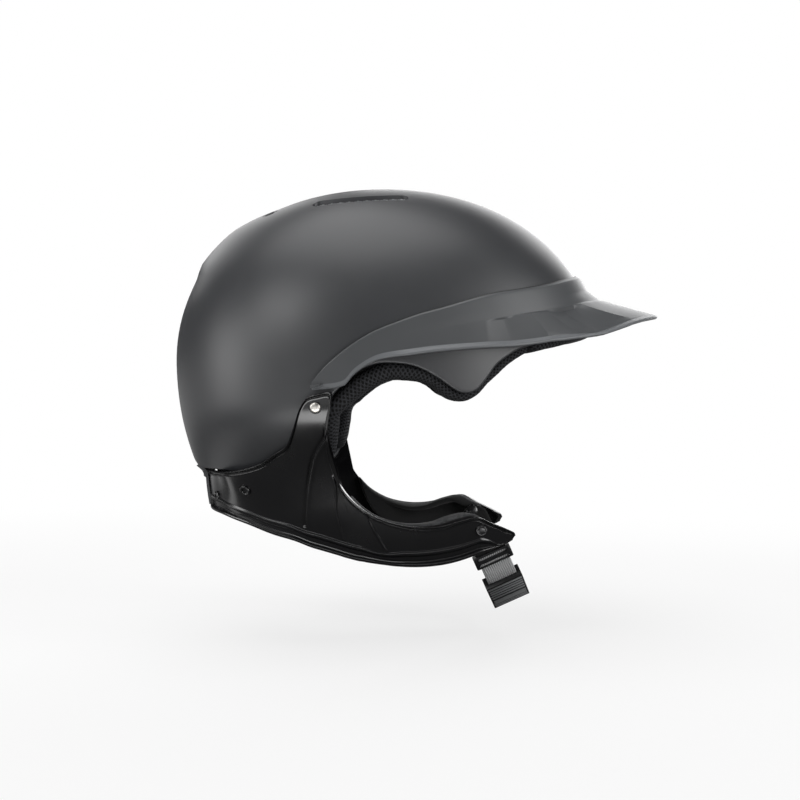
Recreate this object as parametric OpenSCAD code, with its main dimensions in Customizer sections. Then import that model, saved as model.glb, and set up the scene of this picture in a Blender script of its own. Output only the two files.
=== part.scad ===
/* [Shell] */
// Half the width of the shell at the ears
half_width = 104; // [98:0.5:110]
// Half the length of the shell, front to back
half_length = 134; // [128:0.5:140]
// Height of the crown above the middle of the form
crown_rise = 112; // [106:0.5:118]
// Depth of the jaw outline below the middle of the form
jaw_drop = 150; // [146:0.5:154]
// Height of the middle of the form above the ears
form_height = 45; // [43:0.5:47]
// Thickness of the moulded shell
shell_wall = 3; // [2:0.1:4]
// How far the crest at the back stands out
crest_rise = 4; // [0:0.1:5]

/* [Liner and padding] */
// Thickness of the foam liner at the sides
liner_wall = 19; // [14:0.5:22]
// Extra thickness of the foam liner at the front and the back
liner_extra = 6; // [0:0.5:8]
// Thickness of the comfort pads
pad_wall = 5; // [3:0.5:7]
// Thickness of the jaw padding where the strap lies on it
pad_sheet = 2.6; // [2:0.2:3.4]
// Thickness of the round rim of mesh padding
rim_wall = 12; // [8:0.5:14]
// Depth of the mesh rim from outside to inside
rim_depth = 22; // [14:0.5:24]
// Gap left between a soft piece and its neighbour
soft_gap = 0.4; // [0.3:0.05:0.8]
// Gap left between the shell and what lies against its inside
lining_gap = 1.1; // [0.9:0.05:1.2]

/* [Peak] */
// Thickness of the peak and its side bands
peak_wall = 2.2; // [1.6:0.1:3]
// How far the tip of the peak stands out of the shell
peak_reach = 40.5; // [30:0.5:55]
// Seam gap under the peak's bands
seam_gap = 0.6; // [0.5:0.05:0.8]

/* [Jaw guards] */
// Wall of the jaw guards
guard_wall = 2.6; // [2:0.1:3.4]
// How far the rounded edge stands out of the guard
edge_rise = 0.7; // [0.3:0.1:1.2]
// Width of the rounded edge
edge_width = 2.2; // [1.6:0.1:3]
// Height of the rolled lip along the bottom
lip_height = 9; // [7:0.5:11]
// How far the rolled lip stands out
lip_rise = 1.8; // [0.8:0.1:2.6]
// Thickness of the padding inside the jaw guards
jaw_pad_wall = 7; // [4:0.5:9]

/* [Vents] */
// Length of the slot vents
vent_length = 58; // [40:1:66]
// Width of the slot vents
vent_width = 8; // [6:0.5:10]
// Distance of the slot vents from the middle
vent_side = 51.8; // [48:0.2:55]
// Diameter of the crown plugs
plug_d = 9.6; // [8:0.2:12]

/* [Fasteners] */
// Diameter of the bright rivet heads
rivet_head_d = 6; // [5:0.2:9]
// Diameter of the rivet shanks
rivet_shank_d = 4; // [3:0.1:5]
// Diameter of the rear cap screws
screw_head_d = 7; // [5.6:0.2:9]
// Diameter of the strap studs' heads
stud_head_d = 6.4; // [5.6:0.2:9]
// Diameter of the strap studs' shanks
stud_shank_d = 4.4; // [3.6:0.1:5.4]
// Radial running clearance of the strap on its stud
stud_clearance = 0.08; // [0.04:0.01:0.1]

/* [Chin strap] */
// Width of the webbing
web_width = 19; // [16:0.5:22]
// Thickness of the webbing
web_wall = 1.6; // [1.2:0.1:2]
// Forward tilt of the hanging strap
strap_tilt = 24; // [10:1:35]
// Half the distance between the two strap ends
strap_half_span = 48.6; // [48:0.1:50.5]
// Depth of the strap loop below the studs
strap_drop = 55; // [53:0.5:60]

/* [Buckle] */
// Width of the buckle
buckle_width = 24; // [23:0.5:28]
// Length of the buckle's socket
socket_length = 19; // [17:0.5:22]
// Thickness of the buckle
buckle_height = 8; // [7:0.5:10]
// Length of the bar end of the plug
plug_length = 12; // [10:0.5:14]
// Gap between the plug and the socket
buckle_gap = 0.3; // [0.2:0.05:0.4]

/* [Hidden] */
centre = [0, 0, form_height];
// outline of the form beside a plain ellipse, every 30 degrees from the front over the top
outline = [1.037, 1.017, 1.004, 0.996, 1.004, 1.012, 0.981, 0.985, 0.995, 1.033, 1.075, 1.08];
squareness = 2.2;
front_taper = 0.05;
jaw_tuck = 0.22;
tuck_start = 0.2;
tuck_span = 0.52;
crest_side = 0.55;
// share of the crest's height against the angle in the side outline
crest_line = [[124, 0], [138.5, 0.95], [151.5, 0.9], [156, 0.1], [161, 0]];

// lower edge of the shell: azimuth from the front, height above the ears
shell_edge = [[-20, 64], [0, 66], [20, 64], [32, 60.5], [40, 57.5], [46.4, 54], [48.2, 52.5], [51.6, 48.5],
    [54.6, 44], [56.7, 38.5], [58.7, 33.5], [60.3, 30], [62.8, 28], [65.6, 28.6], [68.4, 31.5],
    [71.8, 36], [76, 40.5], [80, 43.5], [85, 45], [91, 45], [96, 42], [100, 36], [102.5, 32],
    [105, 27], [107, 19], [108.5, 8], [110, -4], [112.5, -14], [117, -21], [124, -24],
    [134, -23], [142, -20.5], [148, -19], [160, -18.8], [166, -18.6],
    [171, -15], [180, -14.5], [200, -15]];
half_turn = [0, 8, 16, 24, 32, 40, 43.5, 46.4, 48.2, 51.6, 54.6, 56.7, 58.7, 60.3, 62.8, 65.6, 68.4, 71.8,
    76, 80, 85, 91, 96, 100, 102.5, 105, 107, 108.5, 110, 112.5, 117, 124, 132, 140, 148, 156, 164, 172, 180];
full_turn = concat(half_turn, [for (i = [len(half_turn) - 2:-1:1]) -half_turn[i]]);
// lower edge of the liner, which leaves room for the rim of padding
liner_edge = [[-20, 71], [0, 73], [20, 71], [28, 69], [40, 65], [48, 59], [54, 53], [58, 46], [61.5, 40],
    [66.5, 38], [72, 44], [80, 52], [91, 53], [100, 46], [105, 42], [109, 38], [112.5, 34], [115, 32],
    [118, 24], [123, 4], [130, -16], [142, -16], [155, -13], [180, -9], [200, -12]];
liner_turn = [0, 10, 20, 30, 40, 48, 54, 58, 61.5, 66.5, 72, 80, 91, 100, 105, 109, 112.5, 115, 118, 123, 130,
    140, 150, 160, 170, 180];
liner_full = concat(liner_turn, [for (i = [len(liner_turn) - 2:-1:1]) -liner_turn[i]]);
crown_rings = 12;
inner_rings = 13;
liner_rings = 12;

// upper and lower edge, crease and lip of the peak against azimuth
peak_top = [[-18, 99], [0, 102], [18, 99], [35, 92.5], [45, 89], [54, 86], [62, 82], [70, 77.5],
    [78, 73.5], [85, 69], [93, 63], [100, 55], [106, 45.5], [110, 36.5], [112, 31]];
peak_crease = [[-21, 83.5], [0, 86.5], [21, 83.5], [32, 78.8], [39, 76.4], [45, 74.7], [52, 72], [69, 66],
    [85, 58], [95, 50], [102, 40], [108, 33], [112, 30.5]];
peak_lip = [[-10, 74], [0, 76.5], [10, 74], [20, 68], [30, 61.8], [40, 57.9], [50, 55.6], [62, 54],
    [74, 52], [82, 50], [90, 47.5], [94, 44.5], [98.5, 38.5], [101.5, 32.3], [110, 29.8], [112, 29.5]];
// how far the lip stands out of the form, as a share of the reach
peak_flare = [[-10, 0.82], [0, 1], [10, 0.82], [20, 0.58], [30, 0.38], [40, 0.22], [50, 0.14], [60, 0.1],
    [75, 0.08], [112, 0.07]];
// how far the crease stands off the form
crease_out = [[-15, 3.4], [0, 5], [15, 3.4], [30, 1], [45, 0], [112, 0]];
peak_end = 110.6;
peak_half = [0, 5, 10, 15, 20, 25, 30, 35, 40, 46, 52, 58, 64, 70, 76, 82, 88, 92, 95, 98, 101, 104,
    107, 109.4, peak_end];
peak_turn = concat([for (i = [len(peak_half) - 1:-1:1]) peak_half[i]], [for (a = peak_half) -a]);

// jaw guard: [azimuth, height] on the upper edge, then on the lower lip, from the back to the tip
// six numbers: the line between the two bends towards the place in the middle
guard_frame = [
    [171.5, -20.8, 171.5, -46], [165.5, -20.6, 166, -46.5], [160, -20.4, 160.5, -47.5],
    [154, -20, 154.5, -50],
    [148, -19.2, 148.5, -52.8], [141, -17.5, 140.5, -57.5], [133, -13.4, 132, -61],
    [126.2, -7, 127, -34, 126, -64.5], [121, -1.5, 121.5, -30, 121, -66.5], [117, 8.5, 118.5, -22, 117, -68],
    [114, 20, 116.6, -16, 113.5, -69.3], [111.8, 26, 115.2, -13, 110.5, -70.5],
    [108.6, 28, 114, -11, 108, -71.3], [105.2, 28.6, 112.9, -9, 105.8, -72],
    [105.4, 22, 112.2, -10, 103.5, -72.6],
    [106.7, 14, 112.2, -14, 101, -73], [108, 5, 112.4, -20, 98.7, -73.5], [109, -5, 112.6, -27, 96.3, -73.9],
    [109.4, -14, 111.8, -34, 93.8, -74.3], [108.6, -23, 109.6, -41, 91.2, -74.7],
    [106, -30.8, 105.5, -48, 88.2, -75.1], [101.5, -37.6, 100, -53, 85, -75.6],
    [96, -42.9, 93.5, -57.5, 81, -76], [89, -47.2, 75.5, -76.4], [80, -50.1, 69, -76.5],
    [71, -51.2, 62.5, -76.1],
    [62.5, -50.3, 56.5, -75.1], [55.5, -47.3, 51.2, -73.4], [49.3, -45.6, 46.6, -71], [44, -49, 42.5, -68.3],
    [39.6, -51.8, 39, -66.2], [36, -54.3, 36.2, -64.6], [33.6, -56.2, 34, -63], [32.4, -58.4, 32.6, -61.2]];
pad_first = 20;
pad_last = 30;
// column of the guard from which the lip runs out towards the tip
lip_stop = 28.5;

// middle of the rim of mesh padding: azimuth and height, then its size as a share of the rim
rim_path = [[0, 67, 0.62], [13.5, 66.4, 0.62], [30, 60.8, 0.62], [38.8, 57, 0.62], [43, 55, 0.62],
    [46.6, 51.6, 0.62], [50.3, 46.6, 0.62], [53.9, 40.5, 0.62], [56.9, 35.3, 0.62], [59.2, 30.5, 0.62],
    [61.2, 27.6, 0.62], [63.3, 26.1, 0.62], [65.7, 26.6, 0.65], [67.9, 28.6, 0.68], [72.1, 35.2, 0.8],
    [77.1, 39.4, 0.92], [85.5, 41.1, 1], [90.5, 39, 1], [95, 35.1, 1], [99.2, 29.5, 1], [103, 23.2, 1],
    [106.2, 15, 1], [108.2, 6, 1], [109.8, -3, 1], [112, -12, 0.85], [115, -18, 0.6]];

// places of the vents, the plugs and the peak's studs: azimuth, height
vent_middle_x = -14;
vent_bow = 3.8;
vent_floor = form_height + crown_rise * 0.795;
plug_place = [156, 138.5];
grille_wall = 0.8;
grille_margin = 3;
peak_stud_d = 4;
peak_stud_head_d = 8;
peak_studs_at = [[88, 58], [36, 86]];
washer_d = 9;

// fastener places: azimuth, height
rivet_place = [110, 20.8];
screw_place = [144, -28.5];
screw_shank_d = 3.4;
screw_nut_d = 8;
stud_x = 58.5;
stud_z = -54;
stud_az = 44.375;
strap_room = 5.24;
spread_high = -20;
spread_end = 100;
spread_fade = 30;
nape_end = 158;
nape_low = -44;
nape_high = -25;
nape_screw = [163, -36];
nape_screw_d = 3;
nape_screw_head_d = 6;
shell_bottom = -24;
bridge_wall = 2.4;
nape_tuck = 9;
bridge_block = 172.3;
keeper_width = 30;
keeper_wall = 1.6;
stud_collar = 3.4;
stud_collar_d = 7;

// chin strap and buckle
strap_end = 3.4;
leg_lean = 16;
leg_length = 24;
leg_turn = 5;
buckle_slope = 34;
slider_place = 16;
slider_length = 8;
rib_pitch = 2.4;
rib_count = 7;
prong_x = 6.2;

function unit(v) = v / norm(v);
function clamp(v, low, high) = min(high, max(low, v));
function ease(u) = let (k = clamp(u, 0, 1)) k * k * (3 - 2 * k);
function mix(a, b, u) = a * (1 - u) + b * u;

// smooth value of a table [[x, y], ...] at x
function span(t, x, i = 0) = i >= len(t) - 2 || x < t[i + 1][0] ? i : span(t, x, i + 1);
function slope(t, i) = let (a = max(0, i - 1), b = min(len(t) - 1, i + 1))
    (t[b][1] - t[a][1]) / (t[b][0] - t[a][0]);
function read(t, x0) =
    let (x = clamp(x0, t[0][0], t[len(t) - 1][0]), i = span(t, x), h = t[i + 1][0] - t[i][0],
        u = (x - t[i][0]) / h)
    (2 * u * u * u - 3 * u * u + 1) * t[i][1] + (u * u * u - 2 * u * u + u) * h * slope(t, i)
    + (3 * u * u - 2 * u * u * u) * t[i + 1][1] + (u * u * u - u * u) * h * slope(t, i + 1);

// smooth point of a list at position s, counted in points
function along(p, s0) =
    let (n = len(p) - 1, s = clamp(s0, 0, n), i = min(n - 1, floor(s)), u = s - i,
        a = p[max(0, i - 1)], b = p[i], c = p[i + 1], d = p[min(n, i + 2)])
    b + 0.5 * u * (c - a + u * (2 * a - 5 * b + 4 * c - d + u * (3 * (b - c) + d - a)));

// the form that every layer of the helmet follows
function outline_radius(a) =
    let (t = (a % 360 + 360) % 360 / 30, i = floor(t), u = t - i,
        p = [for (k = [-1:2]) outline[(i + k + 12) % 12]], c = cos(a) * cos(a),
        rise = sin(a) > 0 ? crown_rise : jaw_drop)
    (p[0] * (1 - u) * (1 - u) * (1 - u) + p[1] * (3 * u * u * u - 6 * u * u + 4)
        + p[2] * (-3 * u * u * u + 3 * u * u + 3 * u + 1) + p[3] * u * u * u) / 6
    * (half_length * c + rise * (1 - c));
function crest(a, side) = crest_rise * lookup((a % 360 + 360) % 360, crest_line)
    * ease(1 - side / crest_side);
function skin_radius(d, off) =
    let (p = norm([d.x, d.z]), a = atan2(d.z, d.x), s = abs(d.y),
        l = outline_radius(a) + crest(a, s) + off,
        tuck = 1 - jaw_tuck * ease((-tuck_start - d.z) / tuck_span),
        w = half_width * (1 - front_taper * d.x) * tuck + off)
    pow(pow(p / l, squareness) + pow(s / w, squareness), -1 / squareness);
function heading(az, el) = [cos(az) * cos(el), -sin(az) * cos(el), sin(el)];
function skin(az, el, off) = centre + heading(az, el) * skin_radius(heading(az, el), off);
// elevation at which the form stands at height z, by halving
function tilt_to(az, z, off, low = -82, high = 89.5, n = 22) =
    let (m = (low + high) / 2)
    n == 0 ? m : skin(az, m, off).z < z ? tilt_to(az, z, off, m, high, n - 1)
        : tilt_to(az, z, off, low, m, n - 1);
// point at an azimuth and a height above the ears
function place(az, z, off) = skin(az, tilt_to(az, z, off), off);
// outward direction of the form at an azimuth and a height
function outward(az, z) =
    unit(cross(place(az + 1, z, 0) - place(az - 1, z, 0), place(az, z + 1, 0) - place(az, z - 1, 0)))
    * -1;

function two(a, b, c, d) = [[a, c, b], [a, d, c]];
// skin through sections that each run once round a loop
module loft(sections) {
    n = len(sections);
    m = len(sections[0]);
    last = (n - 1) * m;
    sides = [for (i = [0:n - 2], j = [0:m - 1])
        let (a = i * m + j, b = i * m + (j + 1) % m) each two(a, b, b + m, a + m)];
    start = [for (j = [0:m / 2 - 2]) each two(j, m - 1 - j, m - 2 - j, j + 1)];
    finish = [for (j = [0:m / 2 - 2]) each two(last + j, last + j + 1, last + m - 2 - j, last + m - 1 - j)];
    polyhedron([for (s = sections) each s], concat(sides, start, finish), convexity = 8);
}
// skin from a first pole through closed rings to a last pole
module rings(first, list, last) {
    n = len(list);
    m = len(list[0]);
    end = n * m + 1;
    cap = [for (j = [0:m - 1]) [0, 1 + j, 1 + (j + 1) % m]];
    sides = [for (i = [0:n - 2], j = [0:m - 1])
        let (a = 1 + i * m + j, b = 1 + i * m + (j + 1) % m) each two(a, b, b + m, a + m)];
    base = [for (j = [0:m - 1]) [end, end - m + (j + 1) % m, end - m + j]];
    polyhedron(concat([first], [for (s = list) each s], [last]), concat(cap, sides, base), convexity = 8);
}

// shell and liner
function crown_ring(turn, edge, t, off) =
    [for (az = turn) let (e = tilt_to(az, read(edge, abs(az)), off)) skin(az, mix(e, 90, t), off)];
module shell_body() {
    rings(skin(0, 90, 0), concat(
        [for (i = [1:crown_rings]) crown_ring(full_turn, shell_edge, 1 - i / crown_rings, 0)],
        [for (i = [0:inner_rings - 1]) crown_ring(full_turn, shell_edge, i / inner_rings, -shell_wall)]),
        skin(0, 90, -shell_wall));
}
// middle line of a slot vent in plan, bowed like the shell, and its outline
function vent_line(x) = [vent_middle_x + x, -vent_side + vent_bow * pow(2 * x / vent_length, 2)];
function vent_across(x) = let (t = unit(vent_line(x + 1) - vent_line(x - 1))) [-t.y, t.x];
function vent_outline(length, width) =
    let (half = (length - width) / 2, turn = atan2(vent_across(half).y, vent_across(half).x))
    concat([for (x = [-half:half / 6:half + 0.01]) vent_line(x) - vent_across(x) * width / 2],
        [for (a = [-75:15:75]) vent_line(half) + width / 2 * [cos(a + turn - 90), sin(a + turn - 90)]],
        [for (x = [half:-half / 6:-half - 0.01]) vent_line(x) + vent_across(x) * width / 2],
        [for (a = [105:15:255]) vent_line(-half) + width / 2 * [cos(a + 90 - turn), sin(a + 90 - turn)]]);
module vent_prism(length, width, low, high) {
    translate([0, 0, low]) linear_extrude(high - low) polygon(vent_outline(length, width));
}
// elevation and point of the form over a place in plan
function over_el(az, r, off, low = 20, high = 89.9, n = 22) =
    let (m = (low + high) / 2, q = skin(az, m, off))
    n == 0 ? m : norm([q.x, q.y]) > r ? over_el(az, r, off, m, high, n - 1)
        : over_el(az, r, off, low, m, n - 1);
function over(q, off) = let (az = atan2(-q.y, q.x)) skin(az, over_el(az, norm([q.x, q.y]), off), off);
module both_sides() {
    children();
    mirror([0, 1, 0]) children();
}
module outer_shell() color("#2b2c30") difference() {
    shell_body();
    both_sides() {
        vent_prism(vent_length, vent_width, vent_floor - 12, vent_floor + 30);
        bore(plug_place, -shell_wall - 3, 3, plug_d + 0.4);
        bore(rivet_place, -8, 6, rivet_shank_d + 0.2);
        bore(rivet_place, -8, -shell_wall, washer_d + 0.8);
        for (q = peak_studs_at) {
            bore(q, -8, 6, peak_stud_d + 0.2);
            bore(q, -8, -shell_wall, peak_stud_head_d + 0.8);
        }
    }
}
function liner_inside(az, el) =
    -(shell_wall + lining_gap + liner_wall + liner_extra * pow(cos(az) * cos(el), 2));
function liner_ring(t) = [for (az = liner_full)
    let (off = liner_inside(az, 0), e = tilt_to(az, read(liner_edge, abs(az)), off),
        el = mix(e, 90, t)) skin(az, el, liner_inside(az, el))];
module impact_liner() color("#1c1c1e") difference() {
    rings(skin(0, 90, -shell_wall - lining_gap), concat(
        [for (i = [1:liner_rings]) crown_ring(liner_full, liner_edge, 1 - i / liner_rings,
            -shell_wall - lining_gap)],
        [for (i = [0:liner_rings - 1]) liner_ring(i / liner_rings)]),
        skin(0, 90, liner_inside(0, 90)));
    both_sides() {
        vent_prism(vent_length + 2 * grille_margin + 1, vent_width + 2 * grille_margin + 1, vent_floor,
            vent_floor + 40);
        bore(rivet_place, -shell_wall - 4, 4, washer_d + 1.6);
        for (q = peak_studs_at) bore(q, -shell_wall - 4, 4, peak_stud_head_d + 1);
    }
}

// pads inside the liner: loops of points round a flat oval, carried along a band of the form
oval = [for (a = [330:-30:0]) [sign(cos(a)) * pow(abs(cos(a)), 0.7), sign(sin(a)) * pow(abs(sin(a)), 0.7)]];
module band_pad(first, last, step, low, high, wall, gap) {
    loft([for (az = [first:step:last])
        let (end = ease((last - az) / 6 + 0.35) * ease((az - first) / 6 + 0.35), middle = (low + high) / 2)
        [for (k = oval)
            let (z = middle + k.x * (high - low) / 2 * end, el = tilt_to(az, z, -shell_wall - liner_wall))
            skin(az, el, liner_inside(az, el) - gap - wall / 2 + k.y * wall / 2 * end)]]);
}
// gaps of the pads to the liner at its faces' corners: rear, brow and crown
rear_gap = lining_gap + 0.75;
brow_gap = lining_gap - 0.1;
pad_gap = lining_gap - 0.25;
crown_pad_edge = 64;
crown_pad_turn = [0:15:345];
function crown_pad_depth(t) = pad_wall * sqrt(1 - pow(t, 4));
module crown_pad() {
    color("#17181a") rings(skin(0, 90, liner_inside(0, 90) - pad_gap), concat(
        [for (t = [0.25, 0.5, 0.75, 0.93, 1]) [for (az = crown_pad_turn)
            let (el = 90 - (90 - crown_pad_edge) * t)
                skin(az, el, liner_inside(az, el) - pad_gap - (t == 1 ? 1 : 0))]],
        [for (t = [0.93, 0.75, 0.5, 0.25]) [for (az = crown_pad_turn)
            let (el = 90 - (90 - crown_pad_edge) * t)
                skin(az, el, liner_inside(az, el) - pad_gap - crown_pad_depth(t) - 0.4)]]),
        skin(0, 90, liner_inside(0, 90) - pad_gap - pad_wall - 0.4));
}
module brow_pad() color("#17181a") band_pad(-48, 48, 6, 72, 96, pad_wall, brow_gap);
module rear_pad() color("#17181a") band_pad(128, 232, 6.5, -4, 26, pad_wall, rear_gap);

// rolled rim of mesh padding under the edge of the shell
function rim_point(s) = let (p = along(rim_path, s))
    place(p[0], p[1], 0) - outward(p[0], p[1]) * (shell_wall + lining_gap + 0.3 + rim_depth / 2);
function rim_loop(s) =
    let (p = along(rim_path, s), c = rim_point(s), n = outward(p[0], p[1]),
        t = unit(rim_point(s + 0.1) - rim_point(s - 0.1)), b = unit(cross(t, n)), o = unit(cross(b, t)))
    [for (k = oval) c + b * k.x * rim_wall * p[2] / 2 + o * k.y * rim_depth / 2];
ear_start = 3.6;
module ear_rim() {
    count = len(rim_path) - 1;
    steps = 36;
    loft([for (i = [0:steps]) rim_loop(ear_start + 0.06 + (count - ear_start - 0.16) * i / steps)]);
}
// the same loop on the left side, with its points in the same order
function other_side(l) = [for (p = l) [p.x, -p.y, p.z]];
module brow_rim() {
    half = [for (s = [0.15:0.25:ear_start]) rim_loop(s)];
    color("#1b1c1f") loft(concat([for (i = [len(half) - 1:-1:0]) other_side(half[i])], half));
}
module ear_rim_right() color("#1b1c1f") ear_rim();
module ear_rim_left() color("#1b1c1f") mirror([0, 1, 0]) ear_rim();

// peak: a sheet that hugs the shell at the sides and stands out over the brow
function flat(p) = [norm([p.x, p.y]), p.z];
function turned(q, az) = [q.x * cos(az), -q.x * sin(az), q.y];
function peak_line(az) =
    let (a = abs(az), base = seam_gap + peak_wall, top = read(peak_top, a), fold = read(peak_crease, a),
        low = read(peak_lip, a), out = peak_reach * read(peak_flare, a))
    [flat(place(az, top, base)), flat(place(az, mix(top, fold, 0.33), base)),
        flat(place(az, mix(top, fold, 0.67), base)), flat(place(az, fold, base + read(crease_out, a))),
        mix(flat(place(az, fold, base + read(crease_out, a))), flat(place(az, low, out)), 0.5),
        flat(place(az, low, out))];
function across(l, i) = let (d = unit(l[min(len(l) - 1, i + 1)] - l[max(0, i - 1)])) [-d.y, d.x];
module peak() {
    color("#3a3b3f") loft([for (az = peak_turn) let (l = peak_line(az), n = len(l))
        concat([for (q = l) turned(q, az)],
            [for (i = [n - 1:-1:0]) turned(l[i] - peak_wall * across(l, i), az)])]);
}

// jaw guard: columns between the upper edge and the rolled lip
// each row has its distance from the upper edge, or with a 1 at the end from the lower one, its distance
// from the form, and how far it stands out there; with a 2 it has its share of the way between the two
function lip_share(s) = 1 - 0.85 * ease((s - lip_stop) / 2.4);
function guard_point(az, z, off) = let (q = place(az, z, off - nape_shift(az, z)))
    [q.x, q.y * mix(1, guard_spread, ease((spread_high - z) / spread_fade)
        * ease((spread_end - abs(az)) / spread_fade)),
        q.z];
// the guards stand apart at the studs as the strap does, and keep to the form above and behind them
guard_spread = (strap_half_span + strap_room) / abs(place(stud_az, stud_z - web_width / 2, 0).y);
guard_lines = [for (g = guard_frame) len(g) == 6 ? g
    : [g[0], g[1], (g[0] + g[2]) / 2, (g[1] + g[3]) / 2, g[2], g[3]]];
function guard_column(s, rows) =
    let (g = along(guard_lines, s), lip = lip_share(s),
        above = 2 * norm(place(g[0], g[1], 0) - place(g[2], g[3], 0)),
        below = 2 * norm(place(g[2], g[3], 0) - place(g[4], g[5], 0)),
        fit = min(1, 0.45 * (above + below) / (edge_width + 8 + (lip_height + 3) * lip)),
        upper = (edge_width + 8) * fit / above, lower = 1 - (lip_height + 3) * fit * lip / below)
    [for (r = rows)
        let (v = r[3] == 2 ? mix(upper, lower, r[0])
                : r[3] == 1 ? 1 - r[0] * fit * lip / below : r[0] * fit / above,
            a = (1 - v) * (1 - v), b = 2 * v * (1 - v), c = v * v)
        guard_point(a * g[0] + b * g[2] + c * g[4], a * g[1] + b * g[3] + c * g[5],
            r[1] + r[2] * (r[3] == 1 ? lip : fit))];
// how far the guards sit inside the line of the shell towards the back
function nape_shift(az, z) = nape_tuck * ease((34 - abs(180 - abs(az))) / 16)
    * clamp((z - nape_low + 2) / 25, 0, 1);
guard_face = seam_gap + guard_wall;
guard_rows = [[0, guard_face, 0, 0], [0.6, guard_face, edge_rise, 0], [edge_width, guard_face, edge_rise, 0],
    [edge_width + 0.7, guard_face, 0, 0], [0, guard_face, 0, 2], [0.33, guard_face, 0, 2],
    [0.67, guard_face, 0, 2],
    [lip_height + 3, guard_face, 0, 1],
    [lip_height + 2.2, guard_face, edge_rise, 1], [lip_height + 0.4, guard_face, edge_rise, 1],
    [lip_height - 0.8, guard_face, -0.7, 1], [4, guard_face, -0.5, 1], [2.6, guard_face, lip_rise, 1],
    [0.8, guard_face, lip_rise, 1], [0, guard_face, lip_rise - 0.9, 1], [0, seam_gap + 1, 0, 1],
    [1, seam_gap, 0, 1], [lip_height, seam_gap, 0, 1], [0.9, seam_gap, 0, 2], [0.72, seam_gap, 0, 2],
    [0.54, seam_gap, 0, 2], [0.36, seam_gap, 0, 2], [0.18, seam_gap, 0, 2], [0, seam_gap, 0, 2],
    [edge_width, seam_gap, 0, 0], [0, seam_gap, 0, 0]];
module guard_body() {
    loft([for (s = [0:1:len(guard_frame) - 1]) guard_column(s, guard_rows)]);
}
// round hole or seat square to the form, between two distances from it
module bore(at, low, high, d) {
    on_form(at[0], at[1], low) cylinder(h = high - low, d = d, $fn = 40);
}
// stands the children on the form, their own Z pointing out
module on_form(az, z, off) {
    n = outward(az, z);
    translate(place(az, z, 0) + n * off) rotate([0, acos(n.z), atan2(n.y, n.x)]) children();
}
// the same on the outer face of a guard
module on_guard(at, off) {
    q = guard_point(at[0], at[1], guard_face);
    n = unit(cross(guard_point(at[0], at[1] + 1, guard_face) - q,
        guard_point(at[0] + 1, at[1], guard_face) - q));
    translate(q + n * off) rotate([0, acos(n.z), atan2(n.y, n.x)]) children();
}
stud_outer = strap_half_span + 12.8;
stud_inner = strap_half_span - web_wall / 2 - soft_gap;
module stud_hole(d, low, high) {
    translate([stud_x, -low, stud_z]) rotate([90, 0, 0]) cylinder(h = high - low, d = d, $fn = 32);
}
module jaw_guard() difference() {
    guard_body();
    bore(rivet_place, -4, 10, rivet_shank_d + 0.2);
    bore(rivet_place, guard_face, 10, rivet_head_d + 0.8);
    bore(screw_place, -4, 10, screw_shank_d + 0.2);
    bore(screw_place, guard_face, 10, screw_head_d + 0.8);
    bore(screw_place, -6, seam_gap, screw_nut_d + 1);
    on_guard(nape_screw, -12) cylinder(h = 24, d = nape_screw_d + 0.4, $fn = 32);
    on_guard(nape_screw, 0) cylinder(h = 10, d = nape_screw_head_d + 0.8, $fn = 40);
    stud_hole(stud_shank_d + 0.2, 40, 80);
    stud_hole(stud_head_d + 0.6, stud_outer, 80);
}
module jaw_guard_right() color("#121315") jaw_guard();
module jaw_guard_left() color("#121315") mirror([0, 1, 0]) jaw_guard();

pad_over = 2;
pad_roll = 13;
module jaw_pad() difference() {
    loft([for (k = [0:pad_last - pad_first])
        let (t = mix(jaw_pad_wall, pad_sheet, ease((k - 2) / 5)), tall = k > 7 ? mix(17, 7, (k - 7) / 3) : 20,
            deep = mix(jaw_pad_wall, pad_roll, ease((k - 2) / 4)) * (1 - 0.75 * ease((k - 7.5) / 2.5)),
            top = -pad_over * ease((k - 1) / 6) * (1 - 0.6 * ease((k - 8) / 2)))
        guard_column(pad_first + k, [[top + 1.4, 0, 0, 0], [tall - 1.5, 0, 0, 0], [tall, -t / 2, 0, 0],
            [tall - 1.5, -t, 0, 0], [top + 6, -t, 0, 0], [top + 5, -mix(t, deep, 0.7), 0, 0],
            [top + 2.5, -deep, 0, 0], [top + 0.8, -deep * 0.8, 0, 0], [top, -deep * 0.5, 0, 0],
            [top + 0.4, -deep * 0.2, 0, 0]])]);
    stud_hole(stud_collar_d + 0.8, 40, 80);
}
module jaw_pad_right() color("#26272a") jaw_pad();
module jaw_pad_left() color("#26272a") mirror([0, 1, 0]) jaw_pad();

module nape_pad() {
    wall = jaw_pad_wall;
    top = bridge_low - soft_gap;
    color("#1b1c1f") loft([for (az = [122:7.25:238.1])
        let (end = ease((238 - az) / 10 + 0.35) * ease((az - 122) / 10 + 0.35),
            low = nape_low - 2, high = shell_bottom + 7)
        [for (k = oval) guard_point(az, (low + high) / 2 + k.x * (high - low) / 2,
            top - wall / 2 + k.y * wall / 2 * end)]]);
}
bridge_face = guard_face - 1;
bridge_high = -0.4;
bridge_low = bridge_high - bridge_wall;
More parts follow.
